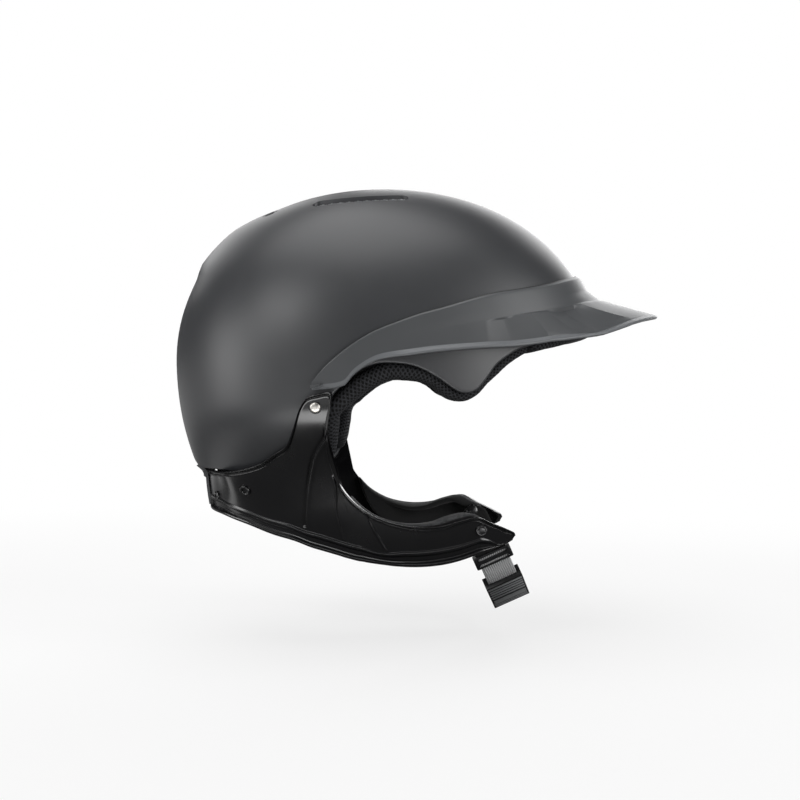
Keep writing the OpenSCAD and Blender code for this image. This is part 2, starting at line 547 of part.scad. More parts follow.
// half of the bridge: thin towards the guards, thicker and taller in the middle
bridge_half = [nape_end, 162.5, 167.5, bridge_block - 0.2, bridge_block + 0.2, 176, 180];
module nape_bridge() color("#141517") difference() {
    loft([for (az = concat([for (a = bridge_half) 360 - a],
            [for (i = [len(bridge_half) - 2:-1:0]) bridge_half[i]]))
        let (block = abs(180 - az) < 180 - bridge_block, low = nape_low + (block ? 0 : 3),
            high = nape_high + (block ? 1 : -2), out = block ? bridge_face : bridge_high)
        [guard_point(az, high, bridge_low), guard_point(az, high, out),
            guard_point(az, (low + high) / 2, out), guard_point(az, low, out),
            guard_point(az, low, bridge_low), guard_point(az, (low + high) / 2, bridge_low)]]);
    both_sides() on_guard(nape_screw, -12) cylinder(h = 24, d = nape_screw_d + 0.4, $fn = 32);
    through_keeper();
}
module nape_screws() color("#2a2b2e") both_sides() on_guard(nape_screw, 0.05) {
    difference() {
        rounded_head(nape_screw_head_d, 1.6);
        translate([0, 0, 0.8]) cylinder(h = 2, d = 2.6, $fn = 6);
    }
    translate([0, 0, -guard_face - bridge_wall + 0.3])
        cylinder(h = guard_face + bridge_wall, d = nape_screw_d, $fn = 32);
}
// low domed head, flat side down
module rounded_head(d, h) {
    rotate_extrude($fn = 40) polygon(concat([[0, 0], [d / 2, 0], [d / 2, h * 0.35]],
        [for (a = [20:14:90]) [d / 2 * cos(a), h * (0.35 + 0.65 * sin(a))]], [[0, h]]));
}

// hook at the back that keeps a goggle strap from sliding: its root lies on the bridge, then it flares
keeper_gap = 0.35;
keeper_rivet_z = nape_high - 8;
keeper_rivet_d = 3;
function back_of(z, off) = let (q = guard_point(180, z, off)) [q.x, q.z];
module keeper_outline() {
    root = [for (u = [0:0.25:1]) mix(nape_low + 1, nape_high - 1, u)];
    base = bridge_face + keeper_gap;
    start = back_of(nape_high - 1, base);
    flare = [[-0.4, 3.4], [-2.6, 6], [-5.4, 9.2]];
    under = [[-7.7, 7.4], [-4.2, 4.4], [-3.2, 2.4], [-3, 0.8]];
    polygon(concat([for (z = root) back_of(z, base)], [for (f = flare) start + f],
        [for (f = under) start + f],
        [for (i = [len(root) - 1:-1:0]) back_of(root[i], base + keeper_wall)]));
}
// stands the children on the back of the bridge, their own Z pointing out
module on_nape(off) {
    q = back_of(keeper_rivet_z, bridge_face);
    t = unit(back_of(keeper_rivet_z + 2, bridge_face) - back_of(keeper_rivet_z - 2, bridge_face));
    translate([q.x - off * t.y, 0, q.y + off * t.x]) rotate([0, atan2(-t.y, t.x), 0]) children();
}
module through_keeper() {
    on_nape(-10) cylinder(h = 20, d = keeper_rivet_d + 0.2, $fn = 32);
}
module strap_keeper() color("#55575c") difference() {
    translate([0, keeper_width / 2, 0]) rotate([90, 0, 0]) linear_extrude(keeper_width) keeper_outline();
    through_keeper();
    on_nape(keeper_gap + keeper_wall) cylinder(h = 6, d = 6.6, $fn = 40);
}
module keeper_rivet() color("#8d9095") {
    on_nape(keeper_gap + keeper_wall + 0.05) rounded_head(6, 1.4);
    on_nape(-bridge_wall - 2) cylinder(h = bridge_wall + keeper_gap + keeper_wall + 2.1,
        d = keeper_rivet_d, $fn = 32);
}

// vents
module vent_grille() {
    top = -shell_wall - lining_gap;
    half = vent_length / 2 + grille_margin;
    wide = vent_width / 2 + grille_margin;
    color("#4a4c50") intersection() {
        loft([for (x = [-half:half / 6:half + 0.01])
            let (c = vent_line(x), n = vent_across(x))
            concat([for (w = [wide + 1, 0, -wide - 1]) over(c + n * w, top)],
                [for (w = [-wide - 1, 0, wide + 1]) over(c + n * w, top - grille_wall)])]);
        vent_prism(2 * half, 2 * wide, vent_floor, vent_floor + 40);
    }
}
module vent_grille_right() vent_grille();
module vent_grille_left() mirror([0, 1, 0]) vent_grille();
module crown_plug() color("#1d1e20") on_form(plug_place[0], plug_place[1], -shell_wall)
    rotate_extrude($fn = 48)
    polygon([[0, 0], [plug_d / 2, 0], [plug_d / 2, shell_wall - 0.5], [plug_d / 2 - 0.5, shell_wall],
        [plug_d / 2 - 1.2, shell_wall], [plug_d / 2 - 2, shell_wall - 1.6], [0, shell_wall - 1.6]]);
module crown_plug_right() crown_plug();
module crown_plug_left() mirror([0, 1, 0]) crown_plug();

// fasteners
module guard_rivet() color("#b9b6ae") on_form(rivet_place[0], rivet_place[1], guard_face + 0.05) {
    rounded_head(rivet_head_d, 1.8);
    translate([0, 0, -guard_face - shell_wall - 1.6])
        cylinder(h = guard_face + shell_wall + 1.7, d = rivet_shank_d, $fn = 32);
}
module guard_rivet_right() guard_rivet();
module guard_rivet_left() mirror([0, 1, 0]) guard_rivet();
module rivet_washer() color("#9a9a98") on_form(rivet_place[0], rivet_place[1], -shell_wall - 1.05)
    difference() {
    cylinder(h = 1, d = washer_d, $fn = 48);
    translate([0, 0, -1]) cylinder(h = 3, d = rivet_shank_d + 0.2, $fn = 32);
}
module rivet_washer_right() rivet_washer();
module rivet_washer_left() mirror([0, 1, 0]) rivet_washer();
module rear_screw() color("#1a1b1d") on_form(screw_place[0], screw_place[1], guard_face + 0.05) {
    difference() {
        rounded_head(screw_head_d, 1.5);
        translate([0, 0, 0.7]) cylinder(h = 2, d = 3.2, $fn = 6);
    }
    translate([0, 0, -guard_face - 2.2]) cylinder(h = guard_face + 2.3, d = screw_shank_d, $fn = 32);
}
module rear_screw_right() rear_screw();
module rear_screw_left() mirror([0, 1, 0]) rear_screw();
module rear_nut() color("#8a8a88") on_form(screw_place[0], screw_place[1], seam_gap - 2.05) difference() {
    cylinder(h = 2, d = screw_nut_d, $fn = 6);
    translate([0, 0, -1]) cylinder(h = 4, d = screw_shank_d + 0.1, $fn = 32);
}
module rear_nut_right() rear_nut();
module rear_nut_left() mirror([0, 1, 0]) rear_nut();
module peak_studs() color("#8a8a88") both_sides() for (q = peak_studs_at)
    on_form(q[0], q[1], -shell_wall - 0.05) {
    translate([0, 0, -1.6]) cylinder(h = 1.6, d = peak_stud_head_d, $fn = 40);
    cylinder(h = shell_wall + 0.1, d = peak_stud_d, $fn = 32);
}
module along_stud(low) {
    translate([stud_x, -low, stud_z]) rotate([90, 0, 0]) children();
}
module strap_stud() color("#232427") {
    along_stud(stud_outer + 0.1) rounded_head(stud_head_d, 2.2);
    along_stud(stud_inner) cylinder(h = stud_outer + 0.2 - stud_inner, d = stud_shank_d, $fn = 48);
    along_stud(strap_half_span + web_wall / 2 + soft_gap)
        cylinder(h = stud_collar, d = stud_collar_d, $fn = 40);
    along_stud(stud_inner - 1) cylinder(h = 1, d = 8, $fn = 48);
}
module strap_stud_right() strap_stud();
module strap_stud_left() mirror([0, 1, 0]) strap_stud();

// chin strap: everything is drawn in the plane that hangs from the studs, Y across and Z up
module in_strap_plane() {
    translate([stud_x, 0, stud_z]) rotate([0, -strap_tilt, 0]) children();
}
leg_way = [sin(leg_lean), -cos(leg_lean)];
buckle_way = [cos(buckle_slope), -sin(buckle_slope)];
leg_top = [-strap_half_span, -4];
leg_end = leg_top + leg_way * leg_length;
buckle_start = leg_end + (leg_way + buckle_way) * leg_turn;
buckle_end = buckle_start + buckle_way * (socket_length + buckle_gap + plug_length);
function bezier(a, b, c, d, n) = [for (i = [0:n]) let (t = i / n, u = 1 - t)
    a * u * u * u + 3 * b * u * u * t + 3 * c * u * t * t + d * t * t * t];
right_path = concat([[-strap_half_span, strap_end], leg_top],
    bezier(leg_end, leg_end + leg_way * 3, buckle_start - buckle_way * 3, buckle_start, 6),
    [buckle_start + buckle_way * 3.4]);
left_path = concat([buckle_end - buckle_way * 3.4],
    bezier(buckle_end, buckle_end + buckle_way * 6, [8, 1.2 - strap_drop], [14, 1.6 - strap_drop], 5),
    bezier([20, 2.4 - strap_drop], [33, 5 - strap_drop], [strap_half_span - 2, -24],
        [strap_half_span, -3], 9),
    [[strap_half_span, strap_end]]);
// flat ribbon of webbing along a path
module ribbon(path) {
    n = len(path) - 1;
    side = [for (i = [0:n]) let (t = unit(path[min(n, i + 1)] - path[max(0, i - 1)]))
        [-t.y, t.x] * web_wall / 2];
    rotate([90, 0, 90]) translate([0, 0, -web_width / 2]) linear_extrude(web_width)
        polygon(concat([for (i = [0:n]) path[i] + side[i]], [for (i = [n:-1:0]) path[i] - side[i]]));
}
module stud_bore(side) {
    translate([0, side * (strap_half_span - 4), 0]) rotate([-side * 90, 0, 0])
        cylinder(h = 8, d = stud_shank_d + 2 * stud_clearance, $fn = 48);
}
// what is cut away to round the end of the webbing
module end_corners(side) {
    translate([0, side * (strap_half_span - 4), strap_end - web_width / 2]) rotate([-side * 90, 0, 0])
        linear_extrude(8) difference() {
            translate([-web_width, side > 0 ? -web_width : 0]) square([2 * web_width, web_width]);
            circle(d = web_width, $fn = 48);
        }
}
module webbing_right() color("#8b8d90") in_strap_plane() difference() {
    ribbon(right_path);
    stud_bore(-1);
    end_corners(-1);
}
module webbing_left() color("#8b8d90") in_strap_plane() difference() {
    ribbon(left_path);
    stud_bore(1);
    end_corners(1);
}
module at_slider() {
    translate([0, leg_top.x + leg_way.x * slider_place, leg_top.y + leg_way.y * slider_place])
        rotate([leg_lean - 90, 0, 0]) children();
}
module length_slider() color("#161719") in_strap_plane() at_slider() {
    wide = web_width + 5;
    high = web_wall + 3.5;
    difference() {
        rotate([90, 0, 0]) linear_extrude(slider_length, center = true) offset(r = 1.2, $fn = 24)
            square([wide - 2.4, high - 2.4], center = true);
        cube([web_width + 0.8, slider_length + 1, web_wall + 0.7], center = true);
        for (y = [-1, 1]) translate([0, y * slider_length / 4.5, high / 2])
            cube([web_width + 0.8, 1.4, 3], center = true);
    }
}
module in_buckle() {
    in_strap_plane() translate([0, buckle_start.x, buckle_start.y]) rotate([-buckle_slope, 0, 0]) children();
}
module slab(x, y0, y1, z0, z1) {
    translate([-x / 2, y0, z0]) cube([x, y1 - y0, z1 - z0]);
}
socket_plate = 1.3;
module buckle_socket() color("#141517") in_buckle() {
    h = buckle_height / 2;
    difference() {
        slab(buckle_width, 0, socket_length, -h, h);
        slab(web_width + 0.8, -1, 3.8, -web_wall / 2 - 0.35, web_wall / 2 + 0.35);
        slab(buckle_width + 1, 5.6, socket_length + 1, -h + socket_plate, h - socket_plate);
        for (i = [0:rib_count - 1])
            slab(buckle_width + 1, 1.6 + i * rib_pitch, 2.6 + i * rib_pitch, -h - 1, -h + 0.5);
    }
}
plug_root = socket_length + buckle_gap;
module buckle_plug() color("#141517") in_buckle() {
    h = buckle_height / 2;
    inner = h - socket_plate - buckle_gap;
    difference() {
        slab(buckle_width, plug_root, plug_root + plug_length, -h, h);
        slab(web_width + 0.8, plug_root + plug_length - 4.4, plug_root + plug_length + 1,
            -web_wall / 2 - 0.35,
            web_wall / 2 + 0.35);
        slab(web_width + 0.8, plug_root + 3, plug_root + 5.4, -h - 1, h + 1);
        for (i = [0:2])
            slab(buckle_width + 1, plug_root + 1.2 + i * rib_pitch, plug_root + 2 + i * rib_pitch, -h - 1, -h + 0.5);
    }
    slab(5, 7, plug_root + 0.5, -inner + 0.6, inner - 0.6);
}
module prong() {
    inner = buckle_height / 2 - socket_plate - buckle_gap - 0.1;
    translate([0, 0, -inner]) linear_extrude(2 * inner) polygon([[prong_x - 1, plug_root - 0.15],
        [prong_x + 1, plug_root - 0.15], [prong_x + 1, 14.4], [buckle_width / 2 - 0.6, 13.4],
        [buckle_width / 2, 12], [buckle_width / 2, 8.6], [buckle_width / 2 - 1.4, 7], [prong_x - 0.6, 6.4],
        [prong_x - 1, 7.4]]);
}
module prong_front() color("#1a1b1d") in_buckle() prong();
module prong_rear() color("#1a1b1d") in_buckle() mirror([1, 0, 0]) prong();
outer_shell();
impact_liner();
crown_pad();
brow_pad();
rear_pad();
brow_rim();
ear_rim_right();
ear_rim_left();
peak();
peak_studs();
jaw_guard_right();
jaw_guard_left();
jaw_pad_right();
jaw_pad_left();
nape_pad();
nape_bridge();
nape_screws();
strap_keeper();
keeper_rivet();
vent_grille_right();
vent_grille_left();
crown_plug_right();
crown_plug_left();
guard_rivet_right();
guard_rivet_left();
rivet_washer_right();
rivet_washer_left();
rear_screw_right();
rear_screw_left();
rear_nut_right();
rear_nut_left();
strap_stud_right();
strap_stud_left();
webbing_right();
webbing_left();
length_slider();
buckle_socket();
buckle_plug();
prong_front();
prong_rear();
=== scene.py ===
# Riding helmet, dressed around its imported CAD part.
# Blender works in metres. The tables here are in millimetres and degrees, with the same values
# as the CAD source.
import math
import bmesh
import bpy
import numpy as np
from mathutils import Matrix, Vector


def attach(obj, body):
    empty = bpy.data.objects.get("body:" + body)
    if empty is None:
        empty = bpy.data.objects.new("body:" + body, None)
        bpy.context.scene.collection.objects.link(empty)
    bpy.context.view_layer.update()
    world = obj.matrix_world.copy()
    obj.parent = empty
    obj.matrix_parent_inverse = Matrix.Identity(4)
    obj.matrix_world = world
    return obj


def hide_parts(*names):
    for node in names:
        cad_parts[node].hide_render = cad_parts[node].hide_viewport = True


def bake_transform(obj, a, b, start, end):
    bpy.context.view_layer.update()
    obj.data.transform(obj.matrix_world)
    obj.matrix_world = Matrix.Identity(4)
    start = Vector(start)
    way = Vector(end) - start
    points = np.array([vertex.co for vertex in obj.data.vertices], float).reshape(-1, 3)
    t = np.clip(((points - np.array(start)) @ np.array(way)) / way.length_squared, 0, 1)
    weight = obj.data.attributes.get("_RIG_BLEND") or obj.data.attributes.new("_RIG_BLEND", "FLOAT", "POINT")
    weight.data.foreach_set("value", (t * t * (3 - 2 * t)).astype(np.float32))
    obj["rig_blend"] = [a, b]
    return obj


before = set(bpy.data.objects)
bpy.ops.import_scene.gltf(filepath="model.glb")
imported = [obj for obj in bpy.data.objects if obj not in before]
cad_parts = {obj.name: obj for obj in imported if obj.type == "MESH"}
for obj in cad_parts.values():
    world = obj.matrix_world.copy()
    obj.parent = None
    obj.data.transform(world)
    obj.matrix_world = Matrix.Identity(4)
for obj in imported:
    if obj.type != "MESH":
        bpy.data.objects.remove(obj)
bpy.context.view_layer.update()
mm = 0.001

# the form that every layer of the helmet follows
form = {
    "halfWidth": 104.0, "halfLength": 134.0, "crownRise": 112.0, "jawDrop": 150.0, "height": 45.0,
    "outline": [1.037, 1.017, 1.004, 0.996, 1.004, 1.012, 0.981, 0.985, 0.995, 1.033, 1.075, 1.08],
    "squareness": 2.2, "frontTaper": 0.05, "jawTuck": 0.22, "tuckStart": 0.2, "tuckSpan": 0.52,
    "crestSide": 0.55, "crestRise": 4.0,
    "crestLine": [[124, 0], [138.5, 0.95], [151.5, 0.9], [156, 0.1], [161, 0]],
    "tilts": (-82.0, 89.5), "plugTilts": (20.0, 89.9), "halvings": 24,
}
centre = np.array([0.0, 0.0, form["height"]])
liningGap, seamGap, softGap = 1.1, 0.6, 0.4  # under the shell, under rigid pieces, under cushions


def ease(u):
    u = np.clip(u, 0.0, 1.0)
    return u * u * (3 - 2 * u)


def mix(a, b, u):
    return a * (1 - u) + b * u


def unit(v):
    return v / np.linalg.norm(v, axis=-1, keepdims=True)


def readTable(table, x):
    # smooth curve through a table of [x, y]
    t = np.array(table, dtype=float)
    xs, ys = t[:, 0], t[:, 1]
    low, high = np.maximum(np.arange(len(xs)) - 1, 0), np.minimum(np.arange(len(xs)) + 1, len(xs) - 1)
    slope = (ys[high] - ys[low]) / (xs[high] - xs[low])
    x = np.clip(np.asarray(x, dtype=float), xs[0], xs[-1])
    i = np.clip(np.searchsorted(xs, x, side="right") - 1, 0, len(xs) - 2)
    h = xs[i + 1] - xs[i]
    u = (x - xs[i]) / h
    return ((2 * u**3 - 3 * u**2 + 1) * ys[i] + (u**3 - 2 * u**2 + u) * h * slope[i]
            + (3 * u**2 - 2 * u**3) * ys[i + 1] + (u**3 - u**2) * h * slope[i + 1])


def between(a, b, c, d, u):
    # smooth way from b to c, with their neighbours a and d
    return b + 0.5 * u * (c - a + u * (2 * a - 5 * b + 4 * c - d + u * (3 * (b - c) + d - a)))


def along(points, s):
    # smooth path through points, s counted in points
    p = np.array(points, dtype=float)
    n = len(p) - 1
    s = np.clip(np.asarray(s, dtype=float), 0, n)
    i = np.minimum(np.floor(s).astype(int), n - 1)
    return between(p[np.maximum(i - 1, 0)], p[i], p[i + 1], p[np.minimum(i + 2, n)], (s - i)[..., None])


def outlineRadius(angle):
    t = np.mod(angle, 360) / 30
    i = np.floor(t).astype(int)
    u = t - i
    shape = np.array(form["outline"])
    p = [shape[(i + k + 12) % 12] for k in (-1, 0, 1, 2)]
    c = np.cos(np.radians(angle)) ** 2
    rise = np.where(np.sin(np.radians(angle)) > 0, form["crownRise"], form["jawDrop"])
    blend = (p[0] * (1 - u)**3 + p[1] * (3 * u**3 - 6 * u**2 + 4)
             + p[2] * (-3 * u**3 + 3 * u**2 + 3 * u + 1) + p[3] * u**3) / 6
    return blend * (form["halfLength"] * c + rise * (1 - c))


def heading(az, el):
    a, e = np.radians(az), np.radians(el)
    return np.stack([np.cos(a) * np.cos(e), -np.sin(a) * np.cos(e), np.sin(e) + 0 * a], -1)


def skin(az, el, off):
    # point of the form at an azimuth and an elevation, moved out by off
    d = heading(az, el)
    p = np.hypot(d[..., 0], d[..., 2])
    angle = np.degrees(np.arctan2(d[..., 2], d[..., 0]))
    side = np.abs(d[..., 1])
    line = np.array(form["crestLine"])
    crest = form["crestRise"] * np.interp(np.mod(angle, 360), line[:, 0], line[:, 1])
    crest = crest * ease(1 - side / form["crestSide"])
    long = outlineRadius(angle) + crest + off
    wide = (form["halfWidth"] * (1 - form["frontTaper"] * d[..., 0])
            * (1 - form["jawTuck"] * ease((-form["tuckStart"] - d[..., 2]) / form["tuckSpan"])) + off)
    k = form["squareness"]
    radius = ((p / long)**k + (side / wide)**k) ** (-1 / k)
    return centre + d * radius[..., None]


def halving(isUnder, limits, shape):
    # elevation up to which isUnder holds, for a whole array
    low, high = np.full(shape, limits[0]), np.full(shape, limits[1])
    for _ in range(form["halvings"]):
        middle = (low + high) / 2
        under = isUnder(middle)
        low, high = np.where(under, middle, low), np.where(under, high, middle)
    return (low + high) / 2


def tiltTo(az, z, off):
    # elevation at which the form reaches a height
    az, z, off = np.broadcast_arrays(np.asarray(az, float), np.asarray(z, float), np.asarray(off, float))
    return halving(lambda el: skin(az, el, off)[..., 2] < z, form["tilts"], az.shape)


def place(az, z, off=0.0):
    return skin(np.asarray(az, float), tiltTo(az, z, off), off)


def outward(az, z):
    return -unit(np.cross(place(az + 1, z) - place(az - 1, z), place(az, z + 1) - place(az, z - 1)))


def leftOf(points):
    return points * np.array([1, -1, 1])


def stripFaces(rows, cols):
    # faces between rows of points, each row a closed loop
    i, j = np.meshgrid(np.arange(rows - 1), np.arange(cols), indexing="ij")
    i, j = i.ravel(), j.ravel()
    k = (j + 1) % cols
    return np.stack([i * cols + j, i * cols + k, (i + 1) * cols + k, (i + 1) * cols + j], -1), i, j


def newMesh(name, points, faces):
    mesh = bpy.data.meshes.new(name)
    mesh.from_pydata((np.asarray(points) * mm).tolist(), [], [list(map(int, f)) for f in faces])
    return mesh


def inScene(name, data):
    made = bpy.data.objects.new(name, data)
    bpy.context.scene.collection.objects.link(made)
    return made


def addPiece(name, points, faces, finish, body="helmet", slot=None, stands=(), uv=None, sharp=38):
    mesh = newMesh(name, points, faces)
    if uv is not None:
        mesh.uv_layers.new(name="Length").data.foreach_set("uv", np.asarray(uv, dtype=np.float32).ravel())
    mesh.shade_smooth()
    mesh.set_sharp_from_angle(angle=math.radians(sharp))
    piece = inScene(name, mesh)
    piece.data.materials.append(finish)
    return settle(piece, body, stands)


def settle(piece, body, stands=()):
    if body:
        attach(piece, body)
    if stands:
        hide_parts(*stands)
    return piece


def loft(name, grid, finish, left=False, lengths=None, **more):
    # closed skin through rows of points, with the lengths along and round it kept as its UV map
    grid = np.array(grid, dtype=float)
    rows, cols = grid.shape[:2]
    faces, i, j = stripFaces(rows, cols)
    if lengths is None:
        steps = np.linalg.norm(np.diff(grid, axis=0), axis=2).mean(1)
        around = np.linalg.norm(np.roll(grid, -1, axis=1) - grid, axis=2).mean(0)
        lengths = (np.concatenate([[0], np.cumsum(steps)]), np.concatenate([[0], np.cumsum(around)]))
    u, v = lengths
    uv = np.stack([np.stack([u[i], v[j]], -1), np.stack([u[i], v[j + 1]], -1),
                   np.stack([u[i + 1], v[j + 1]], -1), np.stack([u[i + 1], v[j]], -1)], 1) * mm
    faces, uv = faces.tolist(), uv.tolist()
    last = (rows - 1) * cols
    for k in range(cols // 2 - 1):
        faces.append([k, cols - 1 - k, cols - 2 - k, k + 1])
        faces.append([last + k, last + k + 1, last + cols - 2 - k, last + cols - 1 - k])
        uv += [[[0, 0]] * 4] * 2
    points = grid.reshape(-1, 3)
    if left:
        points = leftOf(points)
        faces = [f[::-1] for f in faces]
        uv = [q[::-1] for q in uv]
    return addPiece(name, points, faces, finish, uv=[c for q in uv for c in q], **more)


def bothSides(name, grid, finish, node, **more):
    for side in ("right", "left"):
        loft(f"{name}_{side}", grid, finish, left=side == "left", stands=(f"{node}_{side}",), **more)


def frameOn(origin, outwards):
    n = Vector(outwards).normalized()
    return Matrix.Translation(Vector(origin)) @ n.to_track_quat("Z", "Y").to_matrix().to_4x4()


def turnedPoints(profile, steps=48):
    # rings of points of a turned piece, from a profile of [radius, height]
    a = np.radians(np.linspace(0, 360, steps, endpoint=False))
    return np.array([[[r * math.cos(t), r * math.sin(t), h] for t in a] for r, h in profile])


def putOn(grid, matrix):
    m = np.array(matrix)
    return grid @ m[:3, :3].T + m[:3, 3]


def soften(piece, width, steps=2, angle=30):
    bevel = piece.modifiers.new("Soft edges", "BEVEL")
    bevel.width = width * mm
    bevel.segments = steps
    bevel.limit_method = "ANGLE"
    bevel.angle_limit = math.radians(angle)
    bevel.harden_normals = False
    piece.data.shade_smooth()
    return applied(piece, 40)


def applied(piece, sharp=38):
    # bakes the modifiers into the mesh
    result = bpy.data.meshes.new_from_object(piece.evaluated_get(bpy.context.evaluated_depsgraph_get()))
    piece.modifiers.clear()
    old = piece.data
    piece.data = result
    bpy.data.meshes.remove(old)
    result.shade_smooth()
    result.set_sharp_from_angle(angle=math.radians(sharp))
    return piece


def cut(piece, cutters):
    for cutter in cutters:
        tool = piece.modifiers.new("Cut", "BOOLEAN")
        tool.operation = "DIFFERENCE"
        tool.solver = "EXACT"
        tool.object = cutter
    applied(piece)
    for cutter in cutters:
        bpy.data.objects.remove(cutter)
    return piece


def newCutter(points, faces):
    return inScene("cutter", newMesh("cutter", points, faces))


def drumFaces(n):
    # two ends and n sides
    sides = [[i, (i + 1) % n, (i + 1) % n + n, i + n] for i in range(n)]
    return [list(range(n - 1, -1, -1)), list(range(n, 2 * n))] + sides


def prismCutter(outline, low, high):
    points = [[x, y, low] for x, y in outline] + [[x, y, high] for x, y in outline]
    return newCutter(points, drumFaces(len(outline)))


def drum(d, low, high, matrix, sides=40):
    ring = turnedPoints([[d / 2, low], [d / 2, high]], sides)
    return putOn(ring, matrix).reshape(-1, 3), drumFaces(sides)


def boreCutter(at, low, high, d, left=False):
    # bore square to the form, from low to high above its surface
    n = outward(np.array(at[0], float), np.array(at[1], float))
    points, faces = drum(d, low, high, frameOn(place(at[0], at[1]), n))
    if left:
        points = leftOf(points)
        faces = [f[::-1] for f in faces]
    return newCutter(points, faces)


# finishes: cells and loops in millimetres, places along a piece in metres, foam beads in cells to a metre
cloth = {
    "meshCell": (2.6, 3.4), "knitLoop": 1.1, "twill": 1.3, "shadedEnd": 0.021, "shadedEndEdge": 0.0004,
    "feltRoll": (0.0465, 0.048), "beads": 330.0,
}
grains = {"plastic": 3200, "metal": 4200, "fibre": 2600, "uneven": 55, "clouds": 22}  # cells in a metre


def newFinish(name, color, roughness, **sockets):
    finish = bpy.data.materials.new(name)
    finish.use_nodes = True
    shader = shaderOf(finish)
    shader.inputs["Base Color"].default_value = (*color, 1)
    shader.inputs["Roughness"].default_value = roughness
    for key, value in sockets.items():
        shader.inputs[key.replace("_", " ")].default_value = value
    finish.diffuse_color = (*color, 1)
    return finish


def shaderOf(finish):
    return finish.node_tree.nodes["Principled BSDF"]


def node(finish, kind, **values):
    made = finish.node_tree.nodes.new(kind)
    for key, value in values.items():
        if key in made.inputs:
            made.inputs[key].default_value = value
        else:
            setattr(made, key, value)
    return made


def link(finish, start, end):
    finish.node_tree.links.new(start, end)


def feed(finish, socket, value):
    # a link from another node, or a fixed value
    if isinstance(value, bpy.types.NodeSocket):
        link(finish, value, socket)
    else:
        socket.default_value = value


def placed(finish, scale=(1, 1, 1), byLength=False):
    # texture coordinates in metres, from the piece's place or from lengths along its surface
    source = node(finish, "ShaderNodeTexCoord")
    mapping = node(finish, "ShaderNodeMapping", Scale=scale)
    link(finish, source.outputs["UV" if byLength else "Object"], mapping.inputs["Vector"])
    return mapping.outputs["Vector"]


def lengthsOf(finish, cell=None):
    # length along a piece and length round its section, in metres or in cells of so many millimetres
    parts = node(finish, "ShaderNodeSeparateXYZ")
    scale = (1000 / cell[0], 1000 / cell[1], 1) if cell else (1, 1, 1)
    link(finish, placed(finish, scale, byLength=True), parts.inputs[0])
    return parts.outputs["X"], parts.outputs["Y"]


def rises(finish, value, start, stop, **way):
    # 0 before start and 1 after stop
    made = node(finish, "ShaderNodeMapRange", **way)
    made.inputs["From Min"].default_value, made.inputs["From Max"].default_value = start, stop
    link(finish, value, made.inputs["Value"])
    return made.outputs["Result"]


def noise(finish, vector, scale, detail=3.0, roughness=0.5):
    made = node(finish, "ShaderNodeTexNoise", Scale=scale, Detail=detail, Roughness=roughness)
    link(finish, vector, made.inputs["Vector"])
    return made.outputs["Fac"]


def cells(finish, vector, output="Distance", **values):
    made = node(finish, "ShaderNodeTexVoronoi", **values)
    link(finish, vector, made.inputs["Vector"])
    return made.outputs[output]


def ramp(finish, value, stops):
    made = node(finish, "ShaderNodeValToRGB")
    while len(made.color_ramp.elements) < len(stops):
        made.color_ramp.elements.new(0.5)
    for element, (at, color) in zip(made.color_ramp.elements, stops):
        element.position = at
        element.color = (*color, 1)
    link(finish, value, made.inputs["Fac"])
    return made.outputs["Color"]


def grey(v):
    return (v, v, v)


def times(color, k):
    return tuple(c * k for c in color)


def toColor(finish, output):
    link(finish, output, shaderOf(finish).inputs["Base Color"])


def toRoughness(finish, output):
    link(finish, output, shaderOf(finish).inputs["Roughness"])


def toNormal(finish, output):
    link(finish, output, shaderOf(finish).inputs["Normal"])


def bump(finish, height, strength, distance, under=None):
    made = node(finish, "ShaderNodeBump", Strength=strength, Distance=distance * mm)
    link(finish, height, made.inputs["Height"])
    if under is not None:
        link(finish, under, made.inputs["Normal"])
    return made.outputs["Normal"]


def mixed(finish, a, b, factor, kind="MIX"):
    made = node(finish, "ShaderNodeMix", data_type="RGBA", blend_type=kind)
    feed(finish, made.inputs[0], factor)
    for value, key in ((a, 6), (b, 7)):
        feed(finish, made.inputs[key], value if isinstance(value, bpy.types.NodeSocket) else (*value, 1))
    return made.outputs[2]


def combine(finish, a, b, operation="ADD"):
    made = node(finish, "ShaderNodeMath", operation=operation)
    feed(finish, made.inputs[0], a)
    feed(finish, made.inputs[1], b)
    return made.outputs[0]


def mouldedPlastic(name, color, roughness, grain=1.0, spread=0.12, wear=0.04, **sockets):
    # satin or glossy moulded plastic: fine grain, slow unevenness, faint clouds of dust and handling
    finish = newFinish(name, color, roughness, **sockets)
    at = placed(finish)
    fine, slow = noise(finish, at, grains["plastic"], 2), noise(finish, at, grains["uneven"], 3)
    clouds = noise(finish, at, grains["clouds"], 4, 0.6)
    glossy, dull = grey(max(0.02, roughness - spread / 2)), grey(roughness + spread / 2)
    toRoughness(finish, ramp(finish, clouds, [(0.3, glossy), (0.7, dull)]))
    light = tuple(min(1, c * (1 + wear * 4) + wear * 0.05) for c in color)
    toColor(finish, ramp(finish, clouds, [(0.35, color), (0.75, light)]))
    toNormal(finish, bump(finish, fine, 0.25 * grain, 0.02, bump(finish, slow, 0.06, 0.3)))
    return finish


def roundPast(finish, start, stop):
    # 0 before one length round a piece's section and 1 after another
    return rises(finish, lengthsOf(finish)[1], start, stop, interpolation_type="SMOOTHSTEP")


def baseOf(finish):
    return shaderOf(finish).inputs["Base Color"].links[0].from_socket


def paintSeamShadow(finish, width):
    # painted shadow: darkens the start of a piece's length round its section, where it meets its neighbour,
    # as the shade in the gap between them
    toColor(finish, mixed(finish, grey(0.004), baseOf(finish), roundPast(finish, width * 0.7, width)))


def paintHighlightBand(finish, start, stop, gain):
    # painted highlight: a band made lighter in colour, standing for the shine along an edge
    before, after = roundPast(finish, start - 0.0003, start), roundPast(finish, stop, stop + 0.0006)
    band = combine(finish, before, after, "SUBTRACT")
    toColor(finish, mixed(finish, baseOf(finish), grey(gain), band, "MULTIPLY"))


